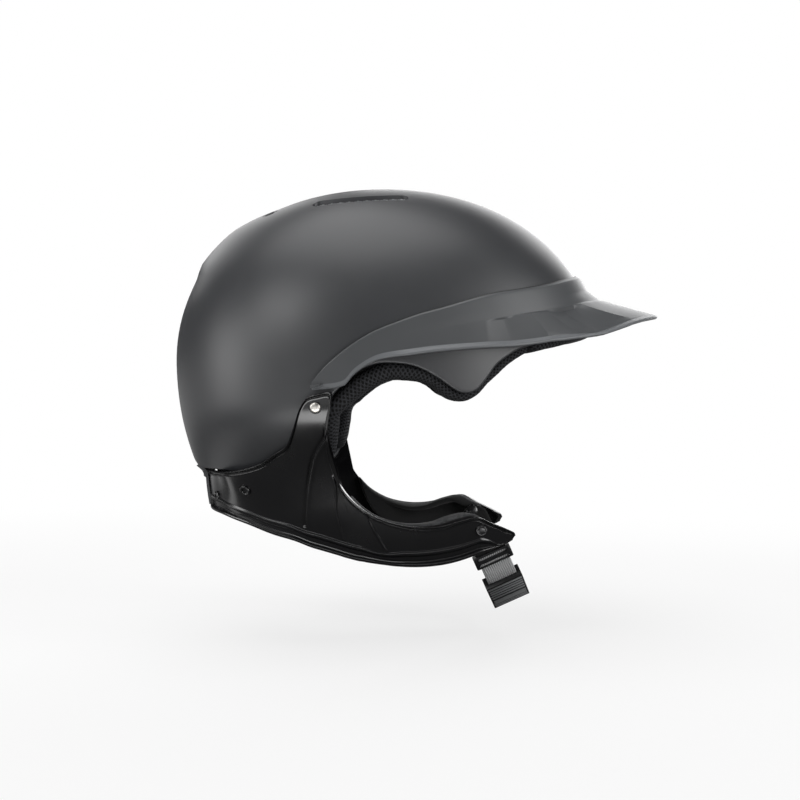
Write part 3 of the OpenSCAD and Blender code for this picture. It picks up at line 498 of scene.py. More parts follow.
def waves(finish, vector, way, **values):
    # bands across a texture that is one unit wide for each
    made = node(finish, "ShaderNodeTexWave", Scale=math.pi / (5 if way == "DIAGONAL" else 10), **values)
    made.bands_direction = way
    link(finish, vector, made.inputs["Vector"])
    return made.outputs["Fac"]


def swing(finish, value):
    # a wave between 0 and 1, one turn for each unit
    made = node(finish, "ShaderNodeMath", operation="SINE")
    link(finish, combine(finish, value, 2 * math.pi, "MULTIPLY"), made.inputs[0])
    return combine(finish, combine(finish, made.outputs[0], 0.5, "MULTIPLY"), 0.5)


def meshCloth(name, color):
    # spacer mesh: crossing threads with staggered holes, like the relief of the rims
    finish = newFinish(name, color, 0.8, Sheen_Weight=0.05, Specular_IOR_Level=0.25)
    u, v = lengthsOf(finish, cloth["meshCell"])
    one, other = swing(finish, combine(finish, u, v)), swing(finish, combine(finish, u, v, "SUBTRACT"))
    hole = combine(finish, one, other, "MULTIPLY")
    fluff = combine(finish, noise(finish, placed(finish), 900, 3, 0.6), 0.5, "SUBTRACT")
    hole = combine(finish, hole, combine(finish, fluff, 0.5, "MULTIPLY"))
    # painted shade: the middles of the holes go near black, for the shade inside them
    toColor(finish, ramp(finish, hole, [(0.02, times(color, 4.5)), (0.3, color), (0.6, times(color, 0.04))]))
    toNormal(finish, bump(finish, hole, -0.9, 0.35))
    return finish


def feltCloth(name, color, insideColor):
    # felt on the roll, and a near-black colour on the wearer's side, told apart by the length round the pad
    finish = newFinish(name, color, 0.95, Sheen_Weight=0.12, Sheen_Roughness=0.6)
    at = placed(finish)
    fibres, clumps = noise(finish, at, grains["fibre"], 5, 0.75), noise(finish, at, 420, 4, 0.65)
    felt = ramp(finish, clumps, [(0.3, times(color, 0.4)), (0.72, times(color, 1.9))])
    toColor(finish, mixed(finish, insideColor, felt, roundPast(finish, *cloth["feltRoll"])))
    toNormal(finish, bump(finish, fibres, 0.6, 0.12, bump(finish, clumps, 0.5, 0.3)))
    return finish


def knitCloth(name, color):
    finish = newFinish(name, color, 0.88, Sheen_Weight=0.35, Sheen_Roughness=0.45)
    loops = cells(finish, placed(finish, (1000 / cloth["knitLoop"],) * 3), Scale=1.0, Randomness=0.25)
    slow = noise(finish, placed(finish), 60, 3)
    yarn = ramp(finish, loops, [(0.1, times(color, 1.6)), (0.7, times(color, 0.45))])
    toColor(finish, mixed(finish, yarn, times(color, 0.7), slow))
    toNormal(finish, bump(finish, loops, -0.5, 0.2))
    return finish


def beadFoam(name, color):
    finish = newFinish(name, color, 0.62)
    look = {"Scale": cloth["beads"], "Randomness": 0.85}
    gaps = cells(finish, placed(finish), feature="DISTANCE_TO_EDGE", **look)
    tone = cells(finish, placed(finish), **look)
    edge = ramp(finish, gaps, [(0.0, grey(0.0)), (0.12, grey(1.0))])
    body = mixed(finish, times(color, 0.75), times(color, 1.5), tone)
    toColor(finish, mixed(finish, times(color, 0.3), body, edge))
    toNormal(finish, bump(finish, edge, 0.6, 0.25))
    return finish


def metal(name, color, roughness, brush=0.3):
    finish = newFinish(name, color, roughness, Metallic=1.0)
    at = placed(finish)
    fine, slow = noise(finish, at, grains["metal"], 2), noise(finish, at, 300, 3)
    bright, dull = grey(roughness * 0.75), grey(min(1, roughness * 1.35))
    toRoughness(finish, ramp(finish, slow, [(0.3, bright), (0.7, dull)]))
    toNormal(finish, bump(finish, fine, brush, 0.02))
    return finish


def wovenWebbing(name, color):
    # twill webbing, with its pattern along the strap's own length and painted shade at the stud's end: a dark
    # stretch where the webbing lies in shadow behind the pad
    finish = newFinish(name, color, 0.8, Sheen_Weight=0.25, Sheen_Roughness=0.4)
    at = placed(finish, (1000 / cloth["twill"], 1000 / cloth["twill"], 1), byLength=True)
    twill = waves(finish, at, "DIAGONAL", Distortion=0.5, Detail=1.0)
    rows = waves(finish, at, "Y", Distortion=0.2, Detail=1.0)
    both = combine(finish, combine(finish, twill, 0.6, "MULTIPLY"), combine(finish, rows, 0.4, "MULTIPLY"))
    fuzz = noise(finish, placed(finish), 900, 4, 0.7)
    tone = ramp(finish, both, [(0.2, times(color, 0.28)), (0.55, color), (0.9, times(color, 1.5))])
    worn = mixed(finish, tone, times(color, 0.7), combine(finish, fuzz, 0.4, "MULTIPLY"))
    shadedReach = cloth["shadedEnd"]
    pastShade = rises(finish, lengthsOf(finish)[0], shadedReach - cloth["shadedEndEdge"], shadedReach)
    # painted shade: the webbing is near black up to this length from the stud's end
    toColor(finish, mixed(finish, grey(0.007), worn, pastShade))
    toNormal(finish, bump(finish, fuzz, 0.3, 0.06, bump(finish, both, 0.7, 0.2)))
    return finish


satin, gloss = {"Specular_IOR_Level": 0.6}, {"Specular_IOR_Level": 0.95}
paint = {"Coat_Weight": 0.35, "Coat_Roughness": 0.38, **satin}
# moulded ones give their name, colour, roughness, grain, spread of the roughness and wear
finishes = {
    "shell": mouldedPlastic("shellPaint", (0.028, 0.0295, 0.033), 0.46, 0.5, 0.06, 0.03, **paint),
    "peak": mouldedPlastic("peakPlastic", (0.069, 0.0725, 0.0765), 0.43, 1.0, 0.06, 0.02, **satin),
    "guard": mouldedPlastic("guardPlastic", (0.0065, 0.0065, 0.0075), 0.25, 0.5, 0.1, 0.02, **gloss),
    "foam": beadFoam("linerFoam", (0.02, 0.02, 0.022)),
    "knit": knitCloth("liningKnit", (0.022, 0.0225, 0.025)),
    "rim": meshCloth("spacerMesh", (0.0085, 0.0087, 0.0098)),
    "felt": feltCloth("padFelt", (0.045, 0.046, 0.048), (0.005, 0.005, 0.0055)),
    "bright": metal("rivetMetal", (0.62, 0.6, 0.56), 0.34),
    "blackMetal": mouldedPlastic("blackedSteel", (0.006, 0.006, 0.007), 0.26, 0.4, 0.08, 0.02, **gloss),
    "wire": metal("ventWire", (0.4, 0.41, 0.42), 0.36, 0.5),
    "keeper": mouldedPlastic("keeperPlastic", (0.085, 0.087, 0.092), 0.42, 0.8, 0.1, 0.04),
    "darkPlastic": mouldedPlastic("darkPlastic", (0.012, 0.012, 0.0135), 0.34, 0.8, 0.12, 0.04),
    "buckle": mouldedPlastic("bucklePlastic", (0.0055, 0.0056, 0.0062), 0.42, 1.2, 0.12, 0.05),
    # painted highlight: the buckle's ribs get a much lighter copy of its black plastic, standing for the
    # shine on them
    "ribs": mouldedPlastic("ribHighlightPlastic", (0.26, 0.265, 0.27), 0.36, 1.0, 0.12, 0.05),
    "webbing": wovenWebbing("strapWebbing", (0.6, 0.605, 0.61)),
}
print("finishes:", len(finishes))

# outer shell
shell = {
    "wall": 3.0, "rings": 54, "innerRings": 22, "spread": 1.08,
    "edgeRound": 1.3, "rollTurns": (0, 22, 45, 68, 90),
    "edge": [[-20, 64], [0, 66], [20, 64], [32, 60.5], [40, 57.5], [46.4, 54], [48.2, 52.5], [51.6, 48.5],
             [54.6, 44], [56.7, 38.5], [58.7, 33.5], [60.3, 30], [62.8, 28], [65.6, 28.6], [68.4, 31.5],
             [71.8, 36], [76, 40.5], [80, 43.5], [85, 45], [91, 45], [96, 42], [100, 36], [102.5, 32],
             [105, 27], [107, 19], [108.5, 8], [110, -4], [112.5, -14], [117, -21], [124, -24],
             [134, -23], [142, -20.5], [148, -19], [160, -18.8], [166, -18.6], [171, -15], [180, -14.5],
             [200, -15]],
    "halfTurn": [0, 8, 16, 24, 32, 40, 43.5, 46.4, 48.2, 51.6, 54.6, 56.7, 58.7, 60.3, 62.8, 65.6, 68.4,
                 71.8, 76, 80, 85, 91, 96, 100, 102.5, 105, 107, 108.5, 110, 112.5, 117, 124, 132, 140,
                 148, 156, 164, 172, 180],
    "ventLength": 58.0, "ventWidth": 8.0, "ventSide": 51.8, "ventMiddle": -14.0, "ventBow": 3.8,
    "ventReach": (122, 165), "plugPlace": [156, 138.5], "plugD": 9.6,
}


def fineTurn(half, split=3):
    # azimuths all the way round, each step of the half turn split into equal parts
    h = np.array(half, float)
    steps = [np.linspace(a, b, split, endpoint=False) for a, b in zip(h[:-1], h[1:])]
    fine = np.concatenate(steps + [h[-1:]])
    return np.concatenate([fine, -fine[-2:0:-1]])


def crownRings(turn, edge, off, shares):
    low = tiltTo(turn, readTable(edge, np.abs(turn)), off)
    return [skin(turn, mix(low, 90.0, t), off) for t in shares]


def rimPlaces(turn, edge):
    # points along an edge, with the ways out of the surface and along it into the shell
    z = readTable(edge, np.abs(turn))
    p = place(turn, z)
    ahead, behind = np.roll(p, -1, axis=0), np.roll(p, 1, axis=0)
    n = outward(turn, z)
    inward = unit(np.cross(unit(ahead - behind), n))
    return p, n, np.where(inward[:, 2:] < 0, -inward, inward)


def shellGrid():
    turn = fineTurn(shell["halfTurn"])
    p, n, inward = rimPlaces(turn, shell["edge"])
    r, wall = shell["edgeRound"], shell["wall"]
    shares = np.linspace(0, 1, shell["rings"] + 1)[1:-1] ** shell["spread"]
    outer = crownRings(turn, shell["edge"], 0.0, shares[::-1])
    inner = crownRings(turn, shell["edge"], -wall, np.linspace(0, 1, shell["innerRings"] + 1)[1:-1])
    # the roll from the outer face to the edge, then the one from the edge to the inner face
    bends = [(math.sin(math.radians(a)), math.cos(math.radians(a))) for a in shell["rollTurns"]]
    roll = [p + inward * r * (1 - s) - n * r * (1 - c) for s, c in bends]
    back = [p + inward * r * (1 - c) - n * (wall - r + r * s) for s, c in bends]
    return np.array(outer + roll + back + inner)


def poleFaces(grid, offOut, offIn):
    # closes a grid of rings with the crown's own points, outside and inside
    rows, cols = grid.shape[:2]
    faces = stripFaces(rows, cols)[0].tolist()
    top, bottom = crownPoint(offOut), crownPoint(offIn)
    points = np.concatenate([grid.reshape(-1, 3), [top], [bottom]])
    a, b = rows * cols, rows * cols + 1
    faces += [[j, (j + 1) % cols, a] for j in range(cols)]
    faces += [[(rows - 1) * cols + (j + 1) % cols, (rows - 1) * cols + j, b] for j in range(cols)]
    return points, faces


def crownPoint(off):
    return skin(np.array(0.0), np.array(90.0), off)


def ventLine(x):
    bow = shell["ventBow"] * (2 * x / shell["ventLength"])**2
    return np.stack([shell["ventMiddle"] + x, -shell["ventSide"] + bow], -1)


def ventAcross(x):
    t = unit(ventLine(x + 1) - ventLine(x - 1))
    return np.stack([-t[..., 1], t[..., 0]], -1)


def ventOutline(extra, side=1):
    # outline of a vent in plan, wider and longer than the slot by extra
    length, width = shell["ventLength"] + extra, shell["ventWidth"] + extra
    half = (length - width) / 2
    xs = np.linspace(-half, half, 25)
    turn = math.degrees(math.atan2(*ventAcross(np.array(half))[::-1]))

    def ring(end, angles):
        return [end + width / 2 * np.array([math.cos(a), math.sin(a)]) for a in map(math.radians, angles)]

    points = list(ventLine(xs) - ventAcross(xs) * width / 2)
    points += ring(ventLine(np.array(half)), [a + turn - 90 for a in range(-80, 81, 10)])
    points += list((ventLine(xs) + ventAcross(xs) * width / 2)[::-1])
    points += ring(ventLine(np.array(-half)), [a + 90 - turn for a in range(100, 261, 10)])
    points = [[q[0], q[1] * side] for q in points]
    return points if side > 0 else points[::-1]


points, faces = poleFaces(shellGrid(), 0.0, -shell["wall"])
outerShell = addPiece("shell_cover", points, faces, finishes["shell"], slot="shell", stands=("outer_shell",))
cutters = [prismCutter(ventOutline(0, side), *shell["ventReach"]) for side in (1, -1)]
cutters += [boreCutter(shell["plugPlace"], -6, 4, shell["plugD"] + 0.4, left) for left in (False, True)]
cut(outerShell, cutters)
print("shell:", len(outerShell.data.polygons), "faces")

# wire mesh behind the vents, and the plugs near the crown
grille = {
    "margin": 3.0, "wall": 0.8, "pitch": 1.9, "wire": 0.34, "wave": 0.35, "lift": 3.0,
    "inset": 0.6, "slotClear": 0.5, "slotEase": 1.5, "steps": 41,
}


def overForm(q, off):
    # point of the form over a place in plan
    az = np.degrees(np.arctan2(-q[..., 1], q[..., 0]))
    r = np.hypot(q[..., 0], q[..., 1])

    def outside(el):
        p = skin(az, el, off)
        return np.hypot(p[..., 0], p[..., 1]) > r

    return skin(az, halving(outside, form["plugTilts"], az.shape), off)


def tube(path, radius, sides=6):
    # rings of points round a path
    path = np.array(path, float)
    t = unit(np.gradient(path, axis=0))
    side = unit(np.cross(t, np.array([0.0, 0.0, 1.0])))
    over = np.cross(side, t)
    a = np.radians(np.linspace(0, 360, sides, endpoint=False))
    r = np.broadcast_to(np.asarray(radius, float), (len(path),))[:, None, None]
    ring = side[:, None] * np.cos(a)[None, :, None] - over[:, None] * np.sin(a)[None, :, None]
    return path[:, None] + r * ring


def joinGrids(grids):
    points, faces = [], []
    for g in grids:
        rows, cols = g.shape[:2]
        start = sum(len(p) for p in points)
        last = start + (rows - 1) * cols
        points.append(g.reshape(-1, 3))
        faces += (stripFaces(rows, cols)[0] + start).tolist()
        faces += [[start + k for k in range(cols)][::-1], [last + k for k in range(cols)]]
    return np.concatenate(points), faces


def grilleWires():
    length, width = shell["ventLength"] / 2, shell["ventWidth"] / 2
    half, wide = length + grille["margin"] - grille["inset"], width + grille["margin"] - grille["inset"]
    step = grille["pitch"] * math.sqrt(2)
    top = -shell["wall"] - liningGap - grille["wall"] / 2
    wires = []
    for way in (1, -1):
        for k in np.arange(-half - wide, half + wide, step):
            s = np.linspace(-wide, wide, grille["steps"])
            x = k + way * s
            keep = np.abs(x) <= half
            if keep.sum() < 5:
                continue
            s, x = s[keep], x[keep]
            q = ventLine(x) + ventAcross(x) * s[:, None]
            # pressed up into the slot, clear of its edges
            edge = np.minimum(width - np.abs(s), length - np.abs(x)) - grille["slotClear"]
            lift = grille["lift"] * np.sqrt(np.clip(edge / grille["slotEase"], 0, 1))
            wave = lift + way * grille["wave"] * np.cos(math.pi * (s * 2) / step + math.pi * (k / step))
            wires.append(tube(overForm(q, top) + np.array([0, 0, 1]) * wave[:, None], grille["wire"]))
    return wires


points, faces = joinGrids(grilleWires())
addPiece("vent_wires_right", points, faces, finishes["wire"], slot="wire_mesh", stands=("vent_grille_right",))
addPiece("vent_wires_left", leftOf(points), [f[::-1] for f in faces], finishes["wire"],
         slot="wire_mesh", stands=("vent_grille_left",))
wall, d = shell["wall"], shell["plugD"]
plugProfile = [
    [0.01, 0.4], [d / 2 - 0.4, 0.4], [d / 2, 0.8], [d / 2, wall - 0.7], [d / 2 - 0.15, wall - 0.35],
    [d / 2 - 0.5, wall - 0.2], [d / 2 - 1.0, wall - 0.2], [d / 2 - 1.35, wall - 0.4],
    [d / 2 - 1.9, wall - 1.5], [d / 2 - 2.3, wall - 1.7],
    [0.9, wall - 1.7], [0.8, wall - 1.3], [0.01, wall - 1.2]]
spot = np.array(shell["plugPlace"], float)
onPlug = frameOn(place(*spot) - outward(*spot) * wall, outward(*spot))
bothSides("plug", putOn(turnedPoints(plugProfile, 56), onPlug), finishes["darkPlastic"], "crown_plug",
          slot="dark_plastic")
print("vents and plugs")

# foam liner
liner = {
    "wall": 19.0, "extra": 6.0, "rings": 34, "edgeRound": 3.0, "ventFloor": 0.795, "ventTop": 170,
    "edge": [[-20, 71], [0, 73], [20, 71], [28, 69], [40, 65], [48, 59], [54, 53], [58, 46], [61.5, 40],
             [66.5, 38], [72, 44], [80, 52], [91, 53], [100, 46], [105, 42], [109, 38], [112.5, 34],
             [115, 32], [118, 24], [123, 4], [130, -16], [142, -16], [155, -13], [180, -9], [200, -12]],
    "halfTurn": [0, 10, 20, 30, 40, 48, 54, 58, 61.5, 66.5, 72, 80, 91, 100, 105, 109, 112.5, 115, 118,
                 123, 130, 140, 150, 160, 170, 180],
}


def linerInside(az, el):
    shape = np.cos(np.radians(az)) * np.cos(np.radians(el))
    return -(shell["wall"] + liningGap + liner["wall"] + liner["extra"] * shape**2)


def linerRing(turn, t):
    low = tiltTo(turn, readTable(liner["edge"], np.abs(turn)), linerInside(turn, 0 * turn))
    el = mix(low, 90.0, t)
    return skin(turn, el, linerInside(turn, el))


def linerGrid():
    turn = fineTurn(liner["halfTurn"])
    out = -shell["wall"] - liningGap
    shares = np.linspace(0, 1, liner["rings"] + 1)[1:-1]
    outer = crownRings(turn, liner["edge"], out, shares[::-1])
    outEdge, nextEdge = crownRings(turn, liner["edge"], out, [0.0, 0.03])
    inEdge = linerRing(turn, 0.0)
    across, up = unit(inEdge - outEdge), unit(nextEdge - outEdge)
    r = liner["edgeRound"]
    bends = [(1 - math.sin(math.radians(a)), 1 - math.cos(math.radians(a))) for a in (0, 30, 60, 90)]
    edge = [outEdge + up * r * s + across * r * c for s, c in bends]
    edge += [outEdge * (1 - k) + inEdge * k for k in (0.3, 0.5, 0.7)]
    edge += [inEdge - across * r * s + up * r * c for s, c in bends]
    return np.array(outer + edge + [linerRing(turn, t) for t in shares])


points, faces = poleFaces(linerGrid(), -shell["wall"] - liningGap, linerInside(0.0, 90.0))
foam = addPiece("foam_liner", points, faces, finishes["foam"], slot="foam", stands=("impact_liner",))
floorZ = form["height"] + form["crownRise"] * liner["ventFloor"]
room = 2 * grille["margin"] + 1
cut(foam, [prismCutter(ventOutline(room, side), floorZ, liner["ventTop"]) for side in (1, -1)])
print("liner:", len(foam.data.polygons), "faces")

# sun peak
peak = {
    "wall": 2.2, "reach": 40.5,
    "top": [[-18, 99], [0, 102], [18, 99], [35, 92.5], [45, 89], [54, 86], [62, 82], [70, 77.5],
            [78, 73.5], [85, 69], [93, 63], [100, 55], [106, 45.5], [110, 36.5], [112, 31]],
    "crease": [[-21, 83.5], [0, 86.5], [21, 83.5], [32, 78.8], [39, 76.4], [45, 74.7], [52, 72], [69, 66],
               [85, 58], [95, 50], [102, 40], [108, 33], [112, 30.5]],
    "lip": [[-10, 74], [0, 76.5], [10, 74], [20, 68], [30, 61.8], [40, 57.9], [50, 55.6], [62, 54],
            [74, 52], [82, 50], [90, 47.5], [94, 44.5], [98.5, 38.5], [101.5, 32.3], [110, 29.8],
            [112, 29.5]],
    "flare": [[-10, 0.82], [0, 1], [10, 0.82], [20, 0.58], [30, 0.38], [40, 0.22], [50, 0.14], [60, 0.1],
              [75, 0.08], [112, 0.07]],
    "creaseOut": [[-15, 3.4], [0, 5], [15, 3.4], [30, 1], [45, 0], [112, 0]],
    # flat facets before the crease, one fold a line: its azimuth near the crease and near the lip,
    # its height, and the columns to the next one
    "folds": [[110.6, 110.6, 0, 90], [58, 58, 0, 10], [52, 51.5, -0.8, 9], [44.6, 42, 1.9, 9],
              [39, 34.6, 0.6, 9], [32.4, 28, -2.2, 9], [27.6, 27, -1.6, 5], [26.4, 17.8, 1.3, 9],
              [20.8, 8.4, 0.5, 20], [0, 0, 0.1, 0]],
    "foldRise": [[0, 0], [0.01, 0], [0.09, 1], [1, 1]], "thinTop": 0.9, "thinEnd": 0.12,
    "foldTurn": (0.05, 0.8), "foldFade": 0.8, "creaseSwell": (0.6, 0.4, 1.3),
    "flange": 3.3, "flangeRise": 2.6, "flangeEnds": (95, 20, 6, 22), "groove": (0.25, 0.1, 0.08),
    # width of the painted shadow along the seam, and rows and gain of the painted highlight on the lip
    "seam": 0.0012, "lipRows": (44, 52), "lipHighlightGain": 2.1,
}


def flatPoint(p):
    return np.stack([np.hypot(p[..., 0], p[..., 1]), p[..., 2]], -1)


def turnedOut(q, az):
    a = np.radians(az)
    return np.stack([q[..., 0] * np.cos(a), -q[..., 0] * np.sin(a), q[..., 1]], -1)


def peakEdges(a):
    # fold and lip of the peak at each azimuth, as radius and height
    out = seamGap + peak["wall"] + readTable(peak["creaseOut"], a)
    fold = flatPoint(place(a, readTable(peak["crease"], a), out))
    lip = flatPoint(place(a, readTable(peak["lip"], a), peak["reach"] * readTable(peak["flare"], a)))
    return fold, lip


def peakColumns():
    # fold number and share for each column, from the right end to the left one, and its side
    half = []
    for k, fold in enumerate(peak["folds"][:-1]):
        half += [k + i / fold[3] for i in range(fold[3])]
    half = np.array(half + [len(peak["folds"]) - 1.0])
    side = np.concatenate([np.ones(len(half)), -np.ones(len(half) - 1)])
    return np.concatenate([half, half[-2::-1]]), side


def peakLine(part, t):
    # one line along the peak, its azimuths and its wall: above the crease, before it, or on the lip's flange
    column, sign = peakColumns()
    folds = np.array(peak["folds"])
    wall = mix(peak["thinTop"], peak["wall"], ease(t / peak["thinEnd"])) if part == "top" else peak["wall"]
    v = t if part == "front" else 0.0 if part == "top" else 1.0
    start, span = peak["foldTurn"]
    at = mix(folds[:, 0], folds[:, 1], np.clip((v - start) / span, 0, 1))
    a = np.interp(column, np.arange(len(at)), at)
    if part == "top":
        start, span, power = peak["creaseSwell"]
        out = seamGap + wall + readTable(peak["creaseOut"], a) * max(0, (t - start) / span) ** power
        z = mix(readTable(peak["top"], a), readTable(peak["crease"], a), t)
        return flatPoint(place(a, z, out)), a * sign, wall
    fold, lip = peakEdges(a)
    across = unit(lip - fold)
    normal = np.stack([-across[:, 1], across[:, 0]], -1)
    flangeAt = 1 - peak["flange"] / np.linalg.norm(lip - fold, axis=1)
    share = flangeAt * t if part == "front" else mix(flangeAt, 1, t)
    line = mix(fold, lip, share[:, None])
    # each facet is flat: its middle lies nearer the axis than its two folds
    k = np.clip(np.floor(column).astype(int), 1, len(at) - 3)
    half = np.radians(np.abs(at[k] - at[k + 1]) / 2)
    flat = np.cos(half) / np.cos(np.radians(a - (at[k] + at[k + 1]) / 2)) - 1
    flat = np.where((column > 1) & (column < len(at) - 2), flat, 0)
    rise = np.interp(v, *np.array(peak["foldRise"]).T) * (1 if part == "front" else 1 - peak["foldFade"] * t)
    line = line + rise * np.interp(column, np.arange(len(at)), folds[:, 2])[:, None] * normal
    line[:, 0] *= 1 + rise * flat
    if part == "lip":
        deep, middle, spread = peak["groove"]
        rear, rearFade, front, frontFade = peak["flangeEnds"]
        lift = peak["flangeRise"] * t - deep * math.exp(-((t - middle) / spread) ** 2)
        line = line + normal * lift * (ease((rear - a) / rearFade) * ease((a - front) / frontFade))[:, None]
    return line, a * sign, wall


def peakGrid():
    bands = {"top": ((0, 0.015, 0.03, 0.06, 0.1), np.linspace(0.14, 1, 18)[:-1]),
             "front": ((0, 0.01, 0.03, 0.06, 0.09), np.linspace(0.12, 1, 16)),
             "lip": ((0.1, 0.22, 0.5, 0.8, 1),)}
    made = [peakLine(part, t) for part, groups in bands.items() for shares in groups for t in shares]
    lines, az = np.array([m[0] for m in made]), np.array([m[1] for m in made])
    walls = [m[2] for m in made]
    d = unit(np.gradient(lines, axis=0))
    across = np.stack([-d[..., 1], d[..., 0]], -1)

    def rolled(k, sign, angle, low):
        # point of the round edge at the first or last line
        r = walls[k] / 2
        back = r * (1 - math.sin(math.radians(angle)))
        down = r + r * math.cos(math.radians(angle)) if low else r * (1 - math.cos(math.radians(angle)))
        return lines[k] + sign * d[k] * back - across[k] * down

    n = len(lines)
    loops = [rolled(0, 1, t, False) for t in (90, 60, 30)] + [lines[k] for k in range(1, n - 1)]
    loops += [rolled(-1, -1, t, False) for t in (0, 25, 50, 75)]
    loops += [rolled(-1, -1, t, True) for t in (75, 50, 25, 0)]
    loops += [lines[k] - walls[k] * across[k] for k in range(n - 2, 0, -1)]
    loops += [rolled(0, 1, t, True) for t in (30, 60, 90)]
    rows = [0, 0, 0] + list(range(1, n - 1)) + [n - 1] * 8 + list(range(n - 2, 0, -1)) + [0, 0, 0]
    return np.transpose(turnedOut(np.array(loops), az[rows]), (1, 0, 2))


grid = peakGrid()
around = np.linalg.norm(np.diff(grid, axis=1), axis=2).mean(0).cumsum() * mm
first, last = peak["lipRows"]
# painted shadow along the peak's top edge, where it meets the shell
paintSeamShadow(finishes["peak"], peak["seam"])
# painted highlight on the band of the lip's flange
paintHighlightBand(finishes["peak"], around[first], around[last], peak["lipHighlightGain"])
loft("peak_cover", grid, finishes["peak"], slot="peak_plastic", stands=("peak",), sharp=14)
print("peak")

# jaw guards, one on each side
guard = {
    "wall": 2.6, "columns": 430,
    "edgeWidth": 2.2, "relief": 8, "lipHeight": 9.0, "lipSpare": 3, "lipStop": 28.5,
    "lipFade": (0.85, 2.4), "fitShare": 0.45, "innerEnds": (0.7, 0.6),
    # rows over the bead, beside it, across the middle and over the lip, and those on the inner face
    "beadRows": (0, 4.2, 0.25), "besideRows": (4.4, 10.2, 0.7), "middleRows": 110,
    "lipRows": (12.4, -0.01, -0.25), "innerLow": (0.0, 0.5, 4.0, 9.0), "innerMiddle": 26,
    "innerTop": (6.0, 2.0, 0.4, 0.0),
    "frame": [
        [171.5, -20.8, 171.5, -46], [165.5, -20.6, 166, -46.5], [160, -20.4, 160.5, -47.5],
        [154, -20, 154.5, -50], [148, -19.2, 148.5, -52.8], [141, -17.5, 140.5, -57.5],
        [133, -13.4, 132, -61], [126.2, -7, 127, -34, 126, -64.5], [121, -1.5, 121.5, -30, 121, -66.5],
        [117, 8.5, 118.5, -22, 117, -68], [114, 20, 116.6, -16, 113.5, -69.3],
        [111.8, 26, 115.2, -13, 110.5, -70.5], [108.6, 28, 114, -11, 108, -71.3],
        [105.2, 28.6, 112.9, -9, 105.8, -72], [105.4, 22, 112.2, -10, 103.5, -72.6],
        [106.7, 14, 112.2, -14, 101, -73], [108, 5, 112.4, -20, 98.7, -73.5],
        [109, -5, 112.6, -27, 96.3, -73.9], [109.4, -14, 111.8, -34, 93.8, -74.3],
        [108.6, -23, 109.6, -41, 91.2, -74.7], [106, -30.8, 105.5, -48, 88.2, -75.1],
        [101.5, -37.6, 100, -53, 85, -75.6], [96, -42.9, 93.5, -57.5, 81, -76], [89, -47.2, 75.5, -76.4],
        [80, -50.1, 69, -76.5], [71, -51.2, 62.5, -76.1], [62.5, -50.3, 56.5, -75.1],
        [55.5, -47.3, 51.2, -73.4], [49.3, -45.6, 46.6, -71], [44, -49, 42.5, -68.3],
        [39.6, -51.8, 39, -66.2], [36, -54.3, 36.2, -64.6], [33.6, -56.2, 34, -63],
        [32.4, -58.4, 32.6, -61.2]],
    # relief of the upper bead and the rolled lip: distance from the edge, height
    "upper": [[-1, 0], [0, 0.1], [0.3, 0.75], [0.8, 1.05], [1.2, 0.8], [1.6, -0.6], [2.2, -0.7],
              [2.6, -0.05], [3, 0.16], [3.8, 0], [9, 0]],
    "lower": [[0, 0.5], [0.5, 1.5], [1.2, 1.8], [2.2, 1.8], [2.9, 1.4], [3.5, -0.3], [4.5, -0.65],
              [7.6, -0.75], [8.4, -0.4], [8.9, 0.5], [9.6, 0.85], [10.8, 0.8], [11.5, 0.4], [12.2, 0],
              [30, 0]],
    # the sunk line behind the ear and the raised ribs: azimuth and height along each, its rise,
    # its half width, and the bank beside it
    "ribs": [
        {"line": [[107.6, 8], [108.7, 3.4], [114.7, -8.5], [119.8, -23.5], [123.2, -37.2], [126.3, -52.5]],
         "rise": -0.95, "half": 0.95, "bank": 0.7},
        {"line": [[109.8, -20], [109.8, -28.8], [110.8, -42.3], [109.5, -60.3]],
         "rise": 1.15, "half": 0.7, "bank": 0.0},
        {"line": [[97.6, -43], [93.8, -54.4], [87.8, -66.4]], "rise": 1.15, "half": 0.65, "bank": 0.0}],
    # how fast the ribs rise from their ends, where they fade at the lip and the bead, and the bank's place
    "ribEnds": (12, 25), "ribFromLip": (10.5, 1.5), "ribFromBead": (1.8, 1.2), "bankPlace": (2.0, 0.9),
    "rivet": [110, 20.8], "screw": [144, -28.5], "rivetHead": 6.0, "screwHead": 7.0,
    "rivetSeat": 7.5, "screwSeat": 8.3, "seatDeep": 0.25,
    # the guards' rear ends draw in under the rear bridge
    "napeTuck": 9.0, "napeLow": -44.0, "napeFrom": 34, "napeFade": 16, "napeRise": 25,
}
guardFace = seamGap + guard["wall"]
surfaceRadius = 92  # millimetres, for turning azimuths into lengths on the sides


def napeShift(az, z):
    near = ease((guard["napeFrom"] - np.abs(180 - np.abs(az))) / guard["napeFade"])
    return guard["napeTuck"] * near * np.clip((z - guard["napeLow"] + 2) / guard["napeRise"], 0, 1)


def guardPoint(az, z, off):
    return place(az, z, off - napeShift(az, z))


def guardLine(g):
    # upper end, middle and lower end of one cross line; a line of four numbers is straight
    return g if len(g) == 6 else [g[0], g[1], (g[0] + g[2]) / 2, (g[1] + g[3]) / 2, g[2], g[3]]


guardLines = [guardLine(g) for g in guard["frame"]]


